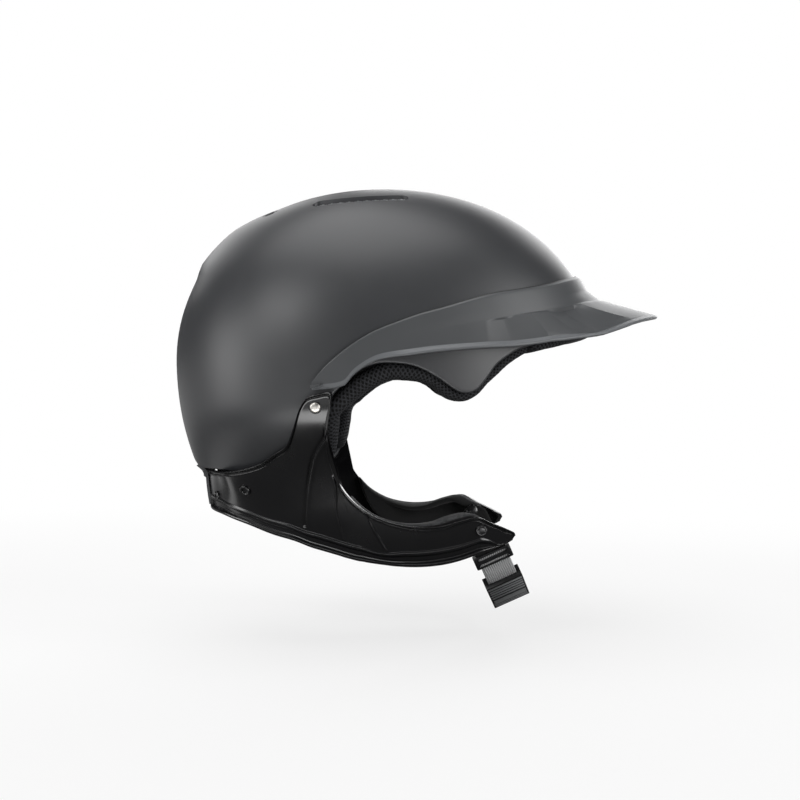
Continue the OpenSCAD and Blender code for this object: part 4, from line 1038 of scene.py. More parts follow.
def lineDistance(x, y, line):
    # distance to a polyline, its side, and how far along it, for points in azimuth and height
    line = along(line, np.linspace(0, len(line) - 1, 40))
    scale = math.pi / 180 * surfaceRadius
    p = np.stack([x * scale, y], -1)
    q = np.stack([line[:, 0] * scale, line[:, 1]], -1)
    best, side, share = np.full(x.shape, 1e9), np.zeros(x.shape), np.zeros(x.shape)
    for k in range(len(q) - 1):
        a, b = q[k], q[k + 1]
        ab = b - a
        t = np.clip(((p - a) @ ab) / (ab @ ab), 0, 1)
        gap = p - a - t[..., None] * ab
        d = np.linalg.norm(gap, axis=-1)
        nearer = d < best
        best = np.where(nearer, d, best)
        side = np.where(nearer, np.sign(gap[..., 0] * ab[1] - gap[..., 1] * ab[0]), side)
        share = np.where(nearer, (k + t) / (len(q) - 1), share)
    return best, side, share


def guardPlaces(s, rows):
    # azimuth, height, and the distances from both edges, for every column and row
    g = along(guardLines, s)
    less, fade = guard["lipFade"]
    lip = 1 - less * ease((s - guard["lipStop"]) / fade)
    p0, p1, p2 = place(g[:, 0], g[:, 1]), place(g[:, 2], g[:, 3]), place(g[:, 4], g[:, 5])
    above, below = 2 * np.linalg.norm(p0 - p1, axis=1), 2 * np.linalg.norm(p1 - p2, axis=1)
    bead, roll = guard["edgeWidth"] + guard["relief"], guard["lipHeight"] + guard["lipSpare"]
    fit = np.minimum(1, guard["fitShare"] * (above + below) / (bead + roll * lip))
    upper, lower = bead * fit / above, 1 - roll * fit * lip / below
    az, z, fromTop, fromLow = [], [], [], []
    for kind, value in rows:
        if kind == "top":
            v = value * fit / above
        elif kind == "low":
            v = 1 - value * fit * lip / below
        else:
            v = mix(upper, lower, value)
        a, b, c = (1 - v) ** 2, 2 * v * (1 - v), v * v
        az.append(a * g[:, 0] + b * g[:, 2] + c * g[:, 4])
        z.append(a * g[:, 1] + b * g[:, 3] + c * g[:, 5])
        fromTop.append(v * above / fit)
        fromLow.append((1 - v) * below / (fit * lip))
    return np.array(az), np.array(z), np.array(fromTop), np.array(fromLow), fit, lip


def rowsOf(kind, values):
    return [(kind, v) for v in values]


def guardGrid():
    s = np.linspace(0, len(guardLines) - 1, guard["columns"])
    outerRows = rowsOf("top", np.arange(*guard["beadRows"])) + rowsOf("top", np.arange(*guard["besideRows"]))
    outerRows += rowsOf("share", np.linspace(0, 1, guard["middleRows"])[1:-1])
    outerRows += rowsOf("low", np.arange(*guard["lipRows"]))
    az, z, top, low, fit, lip = guardPlaces(s, outerRows)
    upper, lower = np.array(guard["upper"]), np.array(guard["lower"])
    rise = np.interp(top, upper[:, 0], upper[:, 1]) * fit + np.interp(low, lower[:, 0], lower[:, 1]) * lip
    (first, last), (lipAt, lipFade) = guard["ribEnds"], guard["ribFromLip"]
    (beadAt, beadFade), (bankAt, bankHalf) = guard["ribFromBead"], guard["bankPlace"]
    for rib in guard["ribs"]:
        d, side, share = lineDistance(az, z, rib["line"])
        half = rib["half"]
        fade = ease(share * first) * ease((1 - share) * last)
        fade = fade * ease((low - lipAt) / lipFade) * ease((top - beadAt) / beadFade)
        bank = rib["bank"] * np.exp(-((d * side - half * bankAt) / bankHalf) ** 2)
        rise = rise + fade * (rib["rise"] * np.exp(-((d / half) ** 4)) + bank)
    outer = guardPoint(az, z, guardFace + rise)
    innerRows = rowsOf("low", guard["innerLow"]) + rowsOf("share", np.linspace(1, 0, guard["innerMiddle"]))
    innerRows += rowsOf("top", guard["innerTop"])
    az, z = guardPlaces(s, innerRows)[:2]
    offs = np.full(az.shape, seamGap)
    offs[0] += guard["innerEnds"][0]
    offs[-1] += guard["innerEnds"][1]
    # an even number of rows, which the closed ends need
    return np.transpose(np.concatenate([outer, guardPoint(az, z, offs)]), (1, 0, 2))


grid = guardGrid()
for side in ("right", "left"):
    left = side == "left"
    cover = loft(f"guard_cover_{side}", grid, finishes["guard"], left=left, slot="guard_plastic",
                 stands=(f"jaw_guard_{side}",))
    seat = guardFace - guard["seatDeep"]
    cut(cover, [boreCutter(guard[part], seat, 12, guard[f"{part}Seat"], left) for part in ("rivet", "screw")])
print("jaw guards:", len(cover.data.polygons), "faces each")

# rivets, cap screws and studs
fastener = {
    "rivetHigh": 1.7, "rivetDish": 0.12, "screwHigh": 1.3, "screwSocket": 3.4, "screwDeep": 1.0,
    "foot": -0.6, "studX": 58.5, "studZ": -54.0, "studOuter": 61.4,
}


def arcPoints(r, height, angles, size):
    # part of a round edge, as radius and height
    return [[r + size * math.cos(math.radians(a)), height + size * math.sin(math.radians(a))] for a in angles]


def domeProfile(d, h, dish, rim=0.35):
    # rivet head with a shallow dish in its middle
    r = d / 2
    rows = [[0.01, fastener["foot"]], [r - 0.3, fastener["foot"]], [r - 0.05, 0.1], [r, h * rim * 0.6]]
    for a in np.radians(np.linspace(15, 90, 12)):
        out = r * math.cos(a)
        dip = dish * math.exp(-(out / (0.45 * r)) ** 2)
        rows.append([max(0.01, out), h * (rim + (1 - rim) * math.sin(a)) - dip])
    return rows


def capProfile(d, h, socket, deep):
    # cap screw with a rounded rim and a socket in its face
    r = d / 2
    rows = [[0.01, fastener["foot"]], [r - 0.2, fastener["foot"]], [r, -0.2], [r, h - 0.5]]
    rows += arcPoints(r - 0.5, h - 0.5, (30, 60, 90), 0.5)
    return rows + [[socket / 2 + 0.35, h], [socket / 2 + 0.1, h - 0.15], [socket / 2, h - 0.4],
                   [socket / 2, h - deep], [0.01, h - deep - 0.1]]


def seatMatrix(at, off):
    at = np.array(at, float)
    return frameOn(place(*at) + outward(*at) * off, outward(*at))


onRivet, onScrew = seatMatrix(guard["rivet"], guardFace + 0.1), seatMatrix(guard["screw"], guardFace)
dome = domeProfile(guard["rivetHead"], fastener["rivetHigh"], fastener["rivetDish"])
bothSides("rivet", putOn(turnedPoints(dome), onRivet), finishes["bright"], "guard_rivet", slot="bright_metal")
cap = capProfile(guard["screwHead"], fastener["screwHigh"], fastener["screwSocket"], fastener["screwDeep"])
bothSides("cap_screw", putOn(turnedPoints(cap), onScrew), finishes["blackMetal"], "rear_screw",
          slot="black_metal")
studAt = frameOn((fastener["studX"], -fastener["studOuter"] - 0.05, fastener["studZ"]), (0, -1, 0))
studProfile = [
    [0.01, -15.0], [3.7, -15.0], [4.0, -14.8], [4.0, -14.2], [3.8, -14.05], [2.2, -14.05], [2.2, -11.65],
    [3.3, -11.65], [3.5, -11.45], [3.5, -8.5], [3.3, -8.3], [2.2, -8.25], [2.2, -0.2], [3.0, -0.2],
    [3.2, 0.1], [3.2, 1.2]]
studProfile += arcPoints(2.7, 1.3, (20, 45, 70, 90), 0.5)
studProfile += [[2.3, 1.8], [2.1, 1.6], [2.0, 1.2], [1.7, 1.1], [0.01, 1.1]]
bothSides("stud", putOn(turnedPoints(studProfile), studAt), finishes["blackMetal"], "strap_stud",
          slot="black_metal")
print("fasteners")

# rolled rims of spacer mesh
rim = {
    "path": [[0, 67, 0.62], [13.5, 66.4, 0.62], [30, 60.8, 0.62], [38.8, 57, 0.62], [43, 55, 0.62],
             [46.6, 51.6, 0.62], [50.3, 46.6, 0.62], [53.9, 40.5, 0.62], [56.9, 35.3, 0.62],
             [59.2, 30.5, 0.62], [61.2, 27.6, 0.62], [63.3, 26.1, 0.62], [65.7, 26.6, 0.65],
             [67.9, 28.6, 0.68], [72.1, 35.2, 0.8], [77.1, 39.4, 0.92], [85.5, 41.1, 1], [90.5, 39, 1],
             [95, 35.1, 1], [99.2, 29.5, 1], [103, 23.2, 1], [106.2, 15, 1], [108.2, 6, 1],
             [109.8, -3, 1], [112, -12, 0.85], [115, -18, 0.6]],
    "earStart": 3.6, "earGap": 0.06, "tail": 1.1, "browStart": 0.02, "wall": 12.0, "depth": 22.0,
    "sink": 0.7, "sides": 132, "step": 0.35, "shrink": 0.97, "squareness": 0.78, "seat": 0.3, "endRoll": 5,
    "folds": ((0.02, 0.42, 0), (0.012, 1.13, 1.3)), "fill": 0.8, "samples": 400, "smoothEnd": 4,
}


def rimPoint(s):
    p = along(rim["path"], s)
    under = shell["wall"] + liningGap + rim["seat"] + rim["depth"] / 2
    return place(p[:, 0], p[:, 1]) - outward(p[:, 0], p[:, 1]) * under


def ovalOf(angles, power):
    c, s = np.cos(np.radians(angles)), np.sin(np.radians(angles))
    return np.stack([np.sign(c) * np.abs(c)**power, np.sign(s) * np.abs(s)**power], -1)


def meshRelief(u, v):
    # 1 in the middle of a hole of the mesh, 0 on its threads
    u, v = (2 * math.pi * length / cell for length, cell in zip((u, v), cloth["meshCell"]))
    return (0.5 + 0.5 * np.sin(u + v)) * (0.5 + 0.5 * np.sin(u - v))


def roundEnd(distance, reach, least):
    # how full a section is near an end that rolls in like a quarter of a circle
    return np.sqrt(np.clip(1 - (1 - np.clip(distance / reach, 0, 1)) ** 2, least, 1))


def rimGrid(start, stop, openStart=False):
    # loops round the rim, evenly spaced along it
    s = np.linspace(start, stop, rim["samples"])
    c = rimPoint(s)
    run = np.concatenate([[0], np.cumsum(np.linalg.norm(np.diff(c, axis=0), axis=1))])
    s = np.interp(np.arange(0, run[-1], rim["step"]), run, s)
    c, p = rimPoint(s), along(rim["path"], s)
    t = unit(rimPoint(s + 0.1) - rimPoint(s - 0.1))
    b = unit(np.cross(t, outward(p[:, 0], p[:, 1])))
    o = unit(np.cross(b, t))
    k = ovalOf(np.linspace(330, 330 - 360, rim["sides"], endpoint=False), rim["squareness"])
    w, deep = rim["wall"] * p[:, 2] / 2 * rim["shrink"], rim["depth"] / 2 * rim["shrink"]
    run = np.arange(len(s)) * rim["step"]
    # ends roll in, and the cloth is drawn together a little along the way
    toEnd = run[-1] - run if openStart else np.minimum(run, run[-1] - run)
    (much, often, first), (some, oftener, second) = rim["folds"]
    slack = (1 - much * (1 + np.sin(run * often + first)) * 0.5
             - some * (1 + np.sin(run * oftener + second)) * 0.5)
    size = (roundEnd(toEnd, rim["endRoll"], 0.02) * slack)[:, None, None]
    section = b[:, None] * k[None, :, :1] * w[:, None, None] + o[:, None] * k[None, :, 1:] * deep
    grid = c[:, None] + section * size
    gaps = np.linalg.norm(np.roll(grid, -1, 1) - grid, axis=2).mean(0)
    around = np.concatenate([[0], np.cumsum(gaps)])
    hole = meshRelief(run[:, None], around[None, :-1])
    quiet = ease(toEnd / rim["smoothEnd"])[:, None]
    return grid - unit(grid - c[:, None]) * (hole * rim["sink"] * quiet)[..., None], (run, around)


rimEnd = len(rim["path"]) - rim["tail"]
grid, lengths = rimGrid(rim["earStart"] + rim["earGap"], rimEnd)
for side in ("right", "left"):
    cushion = loft(f"ear_rim_cloth_{side}", grid, finishes["rim"], left=side == "left", lengths=lengths,
                   slot="spacer_mesh", stands=(f"ear_rim_{side}",), sharp=180)
half, lengths = rimGrid(rim["browStart"], rim["earStart"], openStart=True)
whole = np.concatenate([leftOf(half[::-1]), half])
run = np.concatenate([-lengths[0][::-1], lengths[0]])
cushion = loft("brow_rim_cloth", whole, finishes["rim"], lengths=(run, lengths[1]),
               slot="spacer_mesh", stands=("brow_rim",), sharp=180)
print("rims:", len(cushion.data.polygons))


def closedCurve(points, count):
    # smooth closed curve through section points
    p = np.array(points, float)
    n = len(p)
    s = np.linspace(0, n, count, endpoint=False)
    i = np.floor(s).astype(int)
    u = (s - i).reshape((count,) + (1,) * (p.ndim - 1))
    return between(p[(i - 1) % n], p[i % n], p[(i + 1) % n], p[(i + 2) % n], u)


# felt pads inside the guards' front arms
jawPad = {
    "first": 20, "last": 30, "wall": 7.0, "sheet": 2.6, "over": 2.0, "roll": 13.0, "tall": (20.0, 17.0, 7.0),
    "around": 96, "columns": 260, "hole": 7.8, "inset": 0.02, "perLine": 15, "endRoll": 4.5, "shrink": 0.985,
    "reach": (40, 80), "lengthStep": 0.6, "lengthRound": 60, "fill": 0.5,
    # where along it, in cross lines of the guard, the sheet thins, the roll swells and then fades
    "thins": (2, 5), "swells": (2, 4), "fades": (0.75, 7.5, 2.5), "narrows": (7, 3),
    "rises": (1, 6), "sinks": (0.6, 8, 2),
}


def jawPadGrid():
    k = np.linspace(jawPad["inset"], jawPad["last"] - jawPad["first"] - jawPad["inset"], jawPad["columns"])
    rear, middle, front = jawPad["tall"]

    def onWay(key):
        # 0 before a stretch of the pad and 1 after it
        start, length = jawPad[key][-2:]
        return ease((k - start) / length)

    t = mix(jawPad["wall"], jawPad["sheet"], onWay("thins"))
    start, length = jawPad["narrows"]
    tall = np.where(k > start, mix(middle, front, (k - start) / length), rear)
    deep = mix(jawPad["wall"], jawPad["roll"], onWay("swells")) * (1 - jawPad["fades"][0] * onWay("fades"))
    top = -jawPad["over"] * onWay("rises") * (1 - jawPad["sinks"][0] * onWay("sinks"))
    zero = 0 * k
    section = [[top + 1.4, zero], [tall - 1.5, zero], [tall, -t / 2], [tall - 1.5, -t], [top + 6, -t],
               [top + 5, -mix(t, deep, 0.7)], [top + 2.5, -deep], [top + 0.8, -deep * 0.8],
               [top, -deep * 0.5], [top + 0.4, -deep * 0.2]]
    curve = closedCurve(np.array([[d + zero, o + zero] for d, o in section]), jawPad["around"])
    centreLine = curve.mean(0, keepdims=True)
    run = k * jawPad["perLine"]
    end = roundEnd(np.minimum(run, run[-1] - run), jawPad["endRoll"], 0.03)
    curve = centreLine + (curve - centreLine) * end * jawPad["shrink"]
    az, z = guardPlaces(jawPad["first"] + k, rowsOf("top", curve[:, 0]))[:2]
    return np.transpose(guardPoint(az, z, curve[:, 1]), (1, 0, 2))


grid = jawPadGrid()
lengths = (np.arange(len(grid)) * jawPad["lengthStep"],
           np.linspace(0, jawPad["lengthRound"], grid.shape[1] + 1))
onStud = (Matrix.Translation((fastener["studX"], 0, fastener["studZ"]))
          @ Matrix.Rotation(math.radians(90), 4, "X"))
near, far = jawPad["reach"]
for side, low, high in (("right", near, far), ("left", -far, -near)):
    cushion = loft(f"jaw_felt_{side}", grid, finishes["felt"], left=side == "left", lengths=lengths,
                   slot="felt", stands=(f"jaw_pad_{side}",), sharp=60)
    cut(cushion, [newCutter(*drum(jawPad["hole"], low, high, onStud))])
print("jaw pads:", len(cushion.data.polygons))

# pads inside the liner and over the rear bridge: azimuths, heights, thickness and sewn lines
cushions = {
    "brow": {"span": (-48, 48), "heights": (72, 96), "gap": liningGap - 0.1,
             "seams": [-32, -16, 0, 16, 32]},
    "rear": {"span": (128, 232), "heights": (-4, 26), "gap": liningGap + 0.75,
             "seams": [146, 163, 180, 197, 214]},
    "nape": {"span": (122, 238), "heights": (guard["napeLow"] - 2, -10), "seams": [150, 165, 180, 195, 210]},
    "crown": {"edge": 64.0, "gap": liningGap - 0.25, "piping": 0.9, "seams": [30, 90, 150, 210, 270, 330],
              "seamDeep": 0.4, "seamWay": (0.6, 1.6), "seamStart": 0.25, "ring": (0.35, 0.3, 0.06),
              "pipingFrom": 0.9},
    "wall": 5.0, "napeWall": 7.0, "bridgeLow": -2.8, "around": 88, "step": 0.35, "shrink": 0.97,
    "squareness": 0.72, "endRoll": 2.4, "seamHalf": 1.5, "seamDeep": 0.45, "fill": 0.7, "crownFill": 0.6,
    "taper": (6, 0.35), "pipingGroove": (0.22, 0.93, 0.035),
}


def sewn(run, seams):
    # how far a cushion is drawn in at its sewn lines
    d = np.min(np.abs(run[..., None] - np.array(seams)), axis=-1)
    return 1 - cushions["seamDeep"] * np.exp(-(d / cushions["seamHalf"]) ** 2)


def bandCushion(kind, finish, slot, point):
    # padded band that follows the form; point(az, z, share of the thickness) gives its surface
    (first, last), (low, high), shrink = cushions[kind]["span"], cushions[kind]["heights"], cushions["shrink"]
    az = np.arange(first, last + 0.01, cushions["step"])
    (fade, least), (deep, middle, spread) = cushions["taper"], cushions["pipingGroove"]
    end = ease((last - az) / fade + least) * ease((az - first) / fade + least)
    tip = roundEnd(np.minimum(az - first, last - az), cushions["endRoll"], 0.04)
    k = ovalOf(np.linspace(330, -30, cushions["around"], endpoint=False), cushions["squareness"])
    z = (low + high) / 2 + k[None, :, 0] * ((high - low) / 2 * end * shrink * tip)[:, None]
    puff = sewn(az, cushions[kind]["seams"]) * end * tip
    thick = np.where(k[None, :, 1] < 0, puff[:, None], (end * tip)[:, None])
    piping = 1 - deep * np.exp(-((np.abs(k[None, :, 0]) - middle) / spread) ** 2)
    grid = point(az[:, None] + 0 * z, z, k[None, :, 1] * thick * piping * shrink)
    cushion = loft(f"{kind}_cushion", grid, finish, slot=slot, stands=(f"{kind}_pad",), sharp=180)


def onLiner(kind):
    gap, wall = cushions[kind]["gap"], cushions["wall"]

    def point(az, z, share):
        el = tiltTo(az, z, -shell["wall"] - liner["wall"])
        return skin(az, el, linerInside(az, el) - gap - wall / 2 + share * wall / 2)

    return point


def onBridge(az, z, share):
    wall = cushions["napeWall"]
    return guardPoint(az, z, cushions["bridgeLow"] - softGap - wall / 2 + share * wall / 2)


def crownCushion():
    look, az = cushions["crown"], np.arange(0, 360, 2.0)
    d = np.min(np.abs((az[:, None] - np.array(look["seams"]) + 180) % 360 - 180), axis=1)
    shares = np.sin(np.radians(np.linspace(6, 90, 26)))
    start, rows = look["pipingFrom"], []

    def addRow(t, *depths):
        el = 90 - (90 - look["edge"]) * t
        off = linerInside(az, el) - look["gap"]
        for deep in depths:
            off = off - deep
        rows.append(skin(az, el + 0 * az, off))

    for t in shares:
        addRow(t, look["piping"] * max(0, (t - start) / 0.1) ** 2)
    (reach, half), (ringDeep, ringAt, ringHalf) = look["seamWay"], look["ring"]
    for t in shares[::-1][1:]:
        seam = 1 - look["seamDeep"] * np.exp(-(d * t * reach / half) ** 2) * ease(t / look["seamStart"])
        ring = 1 - ringDeep * math.exp(-((t - ringAt) / ringHalf) ** 2)
        addRow(t, softGap, cushions["wall"] * np.sqrt(1 - t**4) * seam * ring)
    top = linerInside(0.0, 90.0) - look["gap"]
    points, faces = poleFaces(np.array(rows), top, top - cushions["wall"] - softGap)
    cushion = addPiece("crown_cushion", points, faces, finishes["knit"], slot="lining_cloth",
                       stands=("crown_pad",), sharp=180)


bandCushion("brow", finishes["knit"], "lining_cloth", onLiner("brow"))
bandCushion("rear", finishes["knit"], "lining_cloth", onLiner("rear"))
bandCushion("nape", finishes["rim"], "spacer_mesh", onBridge)
crownCushion()
print("cushions")


# pieces that keep their CAD shape
def fromNode(name, source, finish, body="helmet", width=0.35, steps=2, angle=30):
    # a copy of a CAD node whose shape is right, with soft edges
    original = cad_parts[source]
    piece = inScene(name, original.data.copy())
    piece.matrix_world = original.matrix_world
    shape = bmesh.new()
    shape.from_mesh(piece.data)
    bmesh.ops.remove_doubles(shape, verts=shape.verts, dist=0.005 * mm)
    bmesh.ops.dissolve_limit(shape, angle_limit=math.radians(1.0), verts=shape.verts, edges=shape.edges)
    shape.to_mesh(piece.data)
    shape.free()
    piece.data.materials.clear()
    piece.data.materials.append(finish)
    for layer in list(piece.data.attributes):
        if layer.name == "sharp_edge" or layer.name == "custom_normal":
            piece.data.attributes.remove(layer)
    soften(piece, width, steps, angle)
    return settle(piece, body, (source,))


dark, buckleLook = finishes["darkPlastic"], finishes["buckle"]
fromNode("bridge_plate", "nape_bridge", dark, width=0.5, steps=3, angle=40)
fromNode("keeper_tab", "strap_keeper", finishes["keeper"], width=0.5, steps=3, angle=35)
# small fasteners keep even their edges, and only get a better material
carried = {
    "bright": ("keeper_rivet", "peak_studs", "rivet_washer_right", "rivet_washer_left",
               "rear_nut_right", "rear_nut_left"),
    "blackMetal": ("nape_screws",),
}
for kind, sources in carried.items():
    for source in sources:
        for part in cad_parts[source].material_slots:
            part.material = finishes[kind]
print("carried pieces")

# chin strap and buckle
strap = {
    # its loop, from the right stud over the chin to the left one
    "x": fastener["studX"], "z": fastener["studZ"], "tilt": 24.0, "span": 48.6, "drop": 55.0, "end": 3.4,
    "lean": 16.0, "leg": 24.0, "turn": 5.0, "slope": 34.0,
    # webbing: width, thickness, and how it is drawn
    "width": 19.0, "wall": 1.6, "curl": 0.12, "selvedge": 0.45, "across": 22, "step": 0.45,
    "fullness": (0.82, 0.18, 12), "edgeBead": (0.1, 0.86, 0.07), "thinner": 0.94, "smoothing": 6,
    "tuckedIn": 3.4, "slack": (1, 1, 22),
    # slider and buckle; the ribs give first place, last place, pitch and radius
    "slider": 16.0, "windows": (-1.7, 2.2), "windowHalf": (9.6, 0.95), "windowDepth": (-4, -1),
    "socket": 19.0, "gap": 0.3, "plug": 12.0, "buckleWidth": 24.0, "buckleHeight": 8.0,
    "socketRibs": (2.8, 18, 3.4, 0.7), "plugRibs": (21, 30, 2.0, 0.5), "ribInset": 0.9, "ribRise": 0.15,
}
t = math.radians(strap["tilt"])
strapPlane = Matrix(((math.cos(t), 0, -math.sin(t), strap["x"]), (0, 1, 0, 0),
                     (math.sin(t), 0, math.cos(t), strap["z"]), (0, 0, 0, 1)))
lean, slope = math.radians(strap["lean"]), math.radians(strap["slope"])
legWay = np.array([math.sin(lean), -math.cos(lean)])
buckleWay = np.array([math.cos(slope), -math.sin(slope)])
legTop = np.array([-strap["span"], -4.0])
legEnd = legTop + legWay * strap["leg"]
buckleStart = legEnd + (legWay + buckleWay) * strap["turn"]
buckleEnd = buckleStart + buckleWay * (strap["socket"] + strap["gap"] + strap["plug"])


def bezier(a, b, c, d, n):
    t = np.linspace(0, 1, n + 1)[:, None]
    a, b, c, d = (np.array(q, float) for q in (a, b, c, d))
    return a * (1 - t)**3 + 3 * b * (1 - t)**2 * t + 3 * c * (1 - t) * t**2 + d * t**3


def even(path, step):
    path = np.array(path, float)
    run = np.concatenate([[0], np.cumsum(np.linalg.norm(np.diff(path, axis=0), axis=1))])
    s = np.linspace(0, run[-1], max(4, int(run[-1] / step)))
    return np.stack([np.interp(s, run, path[:, i]) for i in range(path.shape[1])], -1), s


def ribbonGrid(path, roundStart=False):
    # strap of webbing along a path in the strap's own plane, with soft selvedges and one round end
    width, wall, across = strap["width"], strap["wall"], strap["across"]
    path, run = even(path, strap["step"])
    for _ in range(strap["smoothing"]):
        path[1:-1] = (path[:-2] + 2 * path[1:-1] + path[2:]) / 4
    t = unit(np.gradient(path, axis=0))
    n = np.stack([-t[:, 1], t[:, 0]], -1)
    r = width / 2
    fromEnd = run if roundStart else run[-1] - run
    half = np.minimum(r, np.sqrt(np.clip(r * r - np.clip(r - fromEnd, 0, r) ** 2, 0.04, None)))
    w = np.linspace(-1, 1, across)
    (flat, more, power), (bead, beadAt, beadHalf) = strap["fullness"], strap["edgeBead"]
    edge = (flat + more * np.sqrt(np.clip(1 - np.abs(w) ** power, 0, 1))
            + bead * np.exp(-((np.abs(w) - beadAt) / beadHalf) ** 2))
    edge[0] = edge[-1] = strap["selvedge"]
    bend = strap["curl"] * (w * w - 0.4)
    loop = []
    for sign, order in ((1, range(across)), (-1, range(across - 1, -1, -1))):
        for i in order:
            lift = sign * wall / 2 * edge[i] * strap["thinner"] + bend[i]
            loop.append(np.stack([w[i] * half, path[:, 0] + n[:, 0] * lift, path[:, 1] + n[:, 1] * lift], -1))
    v = np.concatenate([np.linspace(0, width, across), np.linspace(width, 0, across) + 0.001, [0]])
    return np.transpose(np.array(loop), (1, 0, 2)), run, v


span, drop, tucked = strap["span"], strap["drop"], strap["tuckedIn"]
turnIn = bezier(legEnd, legEnd + legWay * 3, buckleStart - buckleWay * 3, buckleStart, 12)
rightPath = np.concatenate([[[-span, strap["end"]]], [legTop], turnIn, [buckleStart + buckleWay * tucked]])
chinPart = bezier(buckleEnd, buckleEnd + buckleWay * 6, [8, 1.2 - drop], [14, 1.6 - drop], 8)
upPart = bezier([20, 2.4 - drop], [33, 5 - drop], [span - 2, -24], [span, -3], 16)
leftPath = np.concatenate([[buckleEnd - buckleWay * tucked], chinPart, upPart, [[span, strap["end"]]]])
web = {"finish": finishes["webbing"], "slot": "webbing", "sharp": 70}
grid, run, v = ribbonGrid(rightPath, roundStart=True)
loft("strap_web_right", putOn(grid, strapPlane), body="chin_strap", stands=("webbing_right",),
     lengths=(run, v), **web)
grid, run, v = ribbonGrid(leftPath)
webLeft = loft("strap_web_left", putOn(grid, strapPlane), body=None, stands=("webbing_left",),
               lengths=(run[-1] - run, v), **web)
# slack webbing gives way where the plug is pulled back
before, short, rise = strap["slack"]
slack = [[0, buckleEnd[0] + before, buckleEnd[1]], [0, span - short, buckleEnd[1] + rise]]
slackFrom, slackTo = putOn(np.array(slack), strapPlane) * mm
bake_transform(webLeft, "plug", "chin_strap", start=tuple(slackFrom), end=tuple(slackTo))


def boxCutter(low, high, matrix):
    corners = [[x, y, z] for x in (low[0], high[0]) for y in (low[1], high[1]) for z in (low[2], high[2])]
    faces = [[0, 1, 3, 2], [4, 6, 7, 5], [0, 4, 5, 1], [2, 3, 7, 6], [0, 2, 6, 4], [1, 5, 7, 3]]
    return newCutter(putOn(np.array(corners, float), matrix), faces)


# two windows in the slider's outer plate, so that the webbing shows between the bars
slider = fromNode("slider_frame", "length_slider", dark, "slider", 0.3, 2, 35)
sliderAt = (strapPlane @ Matrix.Translation((0, *(legTop + legWay * strap["slider"])))
            @ Matrix.Rotation(math.radians(strap["lean"] - 90), 4, "X"))
(wide, tall), (deep, near) = strap["windowHalf"], strap["windowDepth"]
cut(slider, [boxCutter((-wide, y - tall, deep), (wide, y + tall, near), sliderAt) for y in strap["windows"]])
buckleAt = (strapPlane @ Matrix.Translation((0, *buckleStart))
            @ Matrix.Rotation(math.radians(-strap["slope"]), 4, "X"))


def ribBars(name, sizes, body):
    # rounded bars across the outer face of the buckle, in a much lighter plastic than the buckle: painted
    # highlight along the ribs
    first, last, pitch, radius = sizes
    half, height = strap["buckleWidth"] / 2 - strap["ribInset"], strap["ribRise"] - strap["buckleHeight"] / 2
    xs, radii = (-half, -half + 0.4, half - 0.4, half), [radius * 0.6, radius, radius, radius * 0.6]
    places = np.arange(first, last, pitch)
    bars = [putOn(tube([[x, y, height] for x in xs], radii, 12), buckleAt) for y in places]
    addPiece(name, *joinGrids(bars), finishes["ribs"], body=body, slot="buckle_plastic")


ribBars("socket_ribs", strap["socketRibs"], "chin_strap")
ribBars("plug_ribs", strap["plugRibs"], "plug")
fromNode("buckle_case", "buckle_socket", buckleLook, "chin_strap", 0.3, 2, 40)
fromNode("buckle_tongue", "buckle_plug", buckleLook, "plug", 0.3, 2, 40)
fromNode("prong_pad_front", "prong_front", dark, "front_prong", 0.45, 3, 30)
fromNode("prong_pad_rear", "prong_rear", dark, "rear_prong", 0.45, 3, 30)
print("chin strap")

# floor, light and camera, all in metres
studio = {
    "floor": -0.1265, "floorHalf": 6.0, "sky": 0.05, "bounce": 0.1, "white": 0.9,
    "shadow": 0.3, "shadowFade": (0.25, 0.9), "glow": 0.6, "glowFade": (0.28, 1.1),
    "lens": 55.8, "shift": (-0.00625, -0.0275), "eye": (0.0129, -0.8, 0.0368),
}
# where each lamp stands, what it aims at, its size and its power; the strips are there only for the shine
# in the guards, which face down
lamps = {
    "topBox": ((-0.1, -0.1, 0.95), (0, 0, 0.05), (1.0, 0.8), 5.4),
    "rearBox": ((-0.75, -0.85, 0.62), (0, -0.05, 0.08), (0.5, 0.5), 4),
    "frontBox": ((1.0, -0.45, 0.5), (0.1, 0, 0.05), (0.5, 0.6), 4),
    "farBox": ((0.35, 0.95, 0.6), (0, 0, 0.05), (0.9, 0.5), 3.9),
    "lowFarBox": ((0.55, 1.0, 0.25), (0.1, 0, 0.08), (0.6, 0.25), 2),
    "backLeftBox": ((-0.5, 0.8, 0.58), (-0.05, 0, 0.05), (0.7, 0.4), 1.8),
    "lowSideStrip": ((-0.06, -0.26, -0.106), (-0.06, -0.26, 1), (0.28, 0.14), 0.44, True),
    "lowRearStrip": ((-0.22, -0.03, -0.106), (-0.22, -0.03, 1), (0.08, 0.16), 0.03, True),
    "lowFrontBox": ((0.8, -0.85, 0.0), (0.05, -0.08, 0.0), (0.4, 0.5), 4),
    "leftBox": ((-1.0, -0.35, 0.12), (-0.05, -0.05, 0.02), (0.5, 0.5), 3),
}


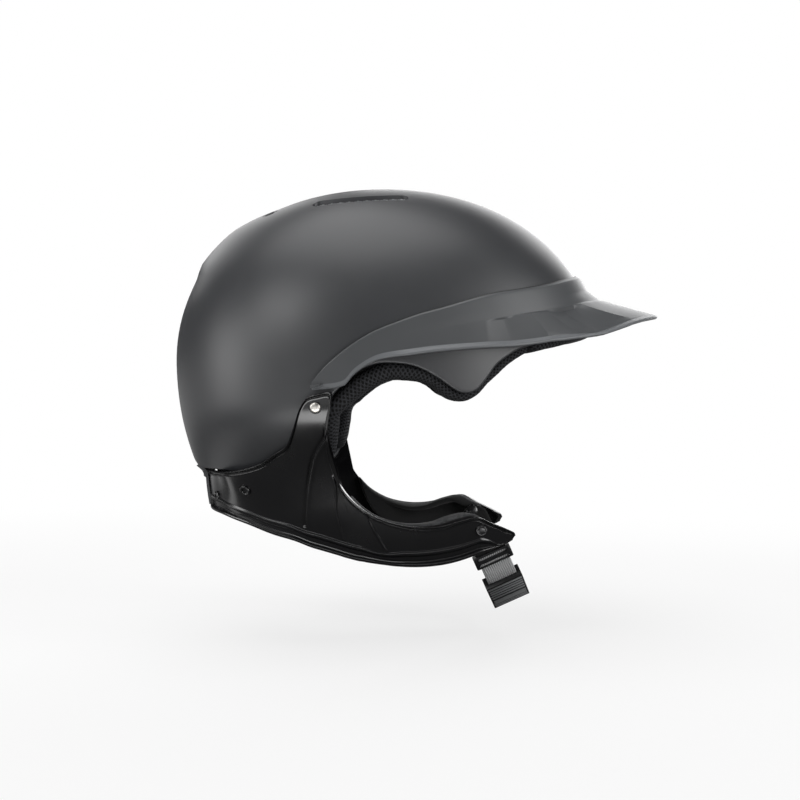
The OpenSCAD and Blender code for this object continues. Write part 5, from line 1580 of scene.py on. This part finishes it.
def whiteGround():
    finish = newFinish("studioFloor", grey(0.8), 0.8, Specular_IOR_Level=0.0, Emission_Color=(1, 1, 1, 1))
    shader = shaderOf(finish)
    glow = node(finish, "ShaderNodeEmission", Color=(1, 1, 1, 1), Strength=1.0)
    both = node(finish, "ShaderNodeMixShader")
    seen = node(finish, "ShaderNodeLightPath").outputs["Is Camera Ray"]
    toColor(finish, mixed(finish, grey(studio["bounce"]), grey(studio["white"]), seen))
    far = node(finish, "ShaderNodeVectorMath", operation="LENGTH")
    link(finish, placed(finish), far.inputs[0])
    # the shadow shows near the helmet, and further out the floor is plain white
    plain = rises(finish, far.outputs["Value"], *studio["shadowFade"], interpolation_type="SMOOTHSTEP")
    plain.node.inputs["To Min"].default_value = 1 - studio["shadow"]
    # the far floor lights the helmet from below, and the near floor stays dark under it
    lit = rises(finish, far.outputs["Value"], *studio["glowFade"], interpolation_type="SMOOTHSTEP")
    lit.node.inputs["To Max"].default_value = studio["glow"]
    unseen = combine(finish, 1.0, seen, "SUBTRACT")
    link(finish, combine(finish, lit, unseen, "MULTIPLY"), shader.inputs["Emission Strength"])
    link(finish, combine(finish, seen, plain, "MULTIPLY"), both.inputs[0])
    link(finish, shader.outputs[0], both.inputs[1])
    link(finish, glow.outputs[0], both.inputs[2])
    link(finish, both.outputs[0], finish.node_tree.nodes["Material Output"].inputs["Surface"])
    return finish


size, z = studio["floorHalf"], studio["floor"]
ground = bpy.data.meshes.new("floor")
corners = [(-size, -size, z), (size, -size, z), (size, size, z), (-size, size, z)]
ground.from_pydata(corners, [], [[0, 1, 2, 3]])
ground.materials.append(whiteGround())
floor = inScene("floor", ground)


def softbox(name, at, aim, size, power, onlyShine=False):
    lamp = bpy.data.lights.new(name, "AREA")
    lamp.shape = "RECTANGLE"
    lamp.size, lamp.size_y = size
    lamp.energy = power
    box = inScene(name, lamp)
    box.location = at
    box.rotation_euler = (Vector(aim) - Vector(at)).to_track_quat("-Z", "Y").to_euler()
    box.visible_camera = False
    box.visible_diffuse = not onlyShine


for name, values in lamps.items():
    softbox(name, *values)

world = bpy.data.worlds.new("studio")
bpy.context.scene.world = world
world.use_nodes = True
sky = world.node_tree.nodes["Background"]
seen = node(world, "ShaderNodeLightPath").outputs["Is Camera Ray"]
bright = rises(world, seen, 0.0, 1.0)
bright.node.inputs["To Min"].default_value = studio["sky"]
link(world, bright, sky.inputs["Strength"])
sky.inputs["Color"].default_value = (1, 1, 1, 1)

lens = bpy.data.cameras.new("camera")
lens.sensor_width = 36
lens.lens = studio["lens"]
lens.shift_x, lens.shift_y = studio["shift"]
lens.clip_start = 0.01
camera = inScene("camera", lens)
camera.location = studio["eye"]
camera.rotation_euler = (math.radians(90), 0, 0)
bpy.context.scene.camera = camera
bpy.context.scene.view_settings.view_transform = "Standard"
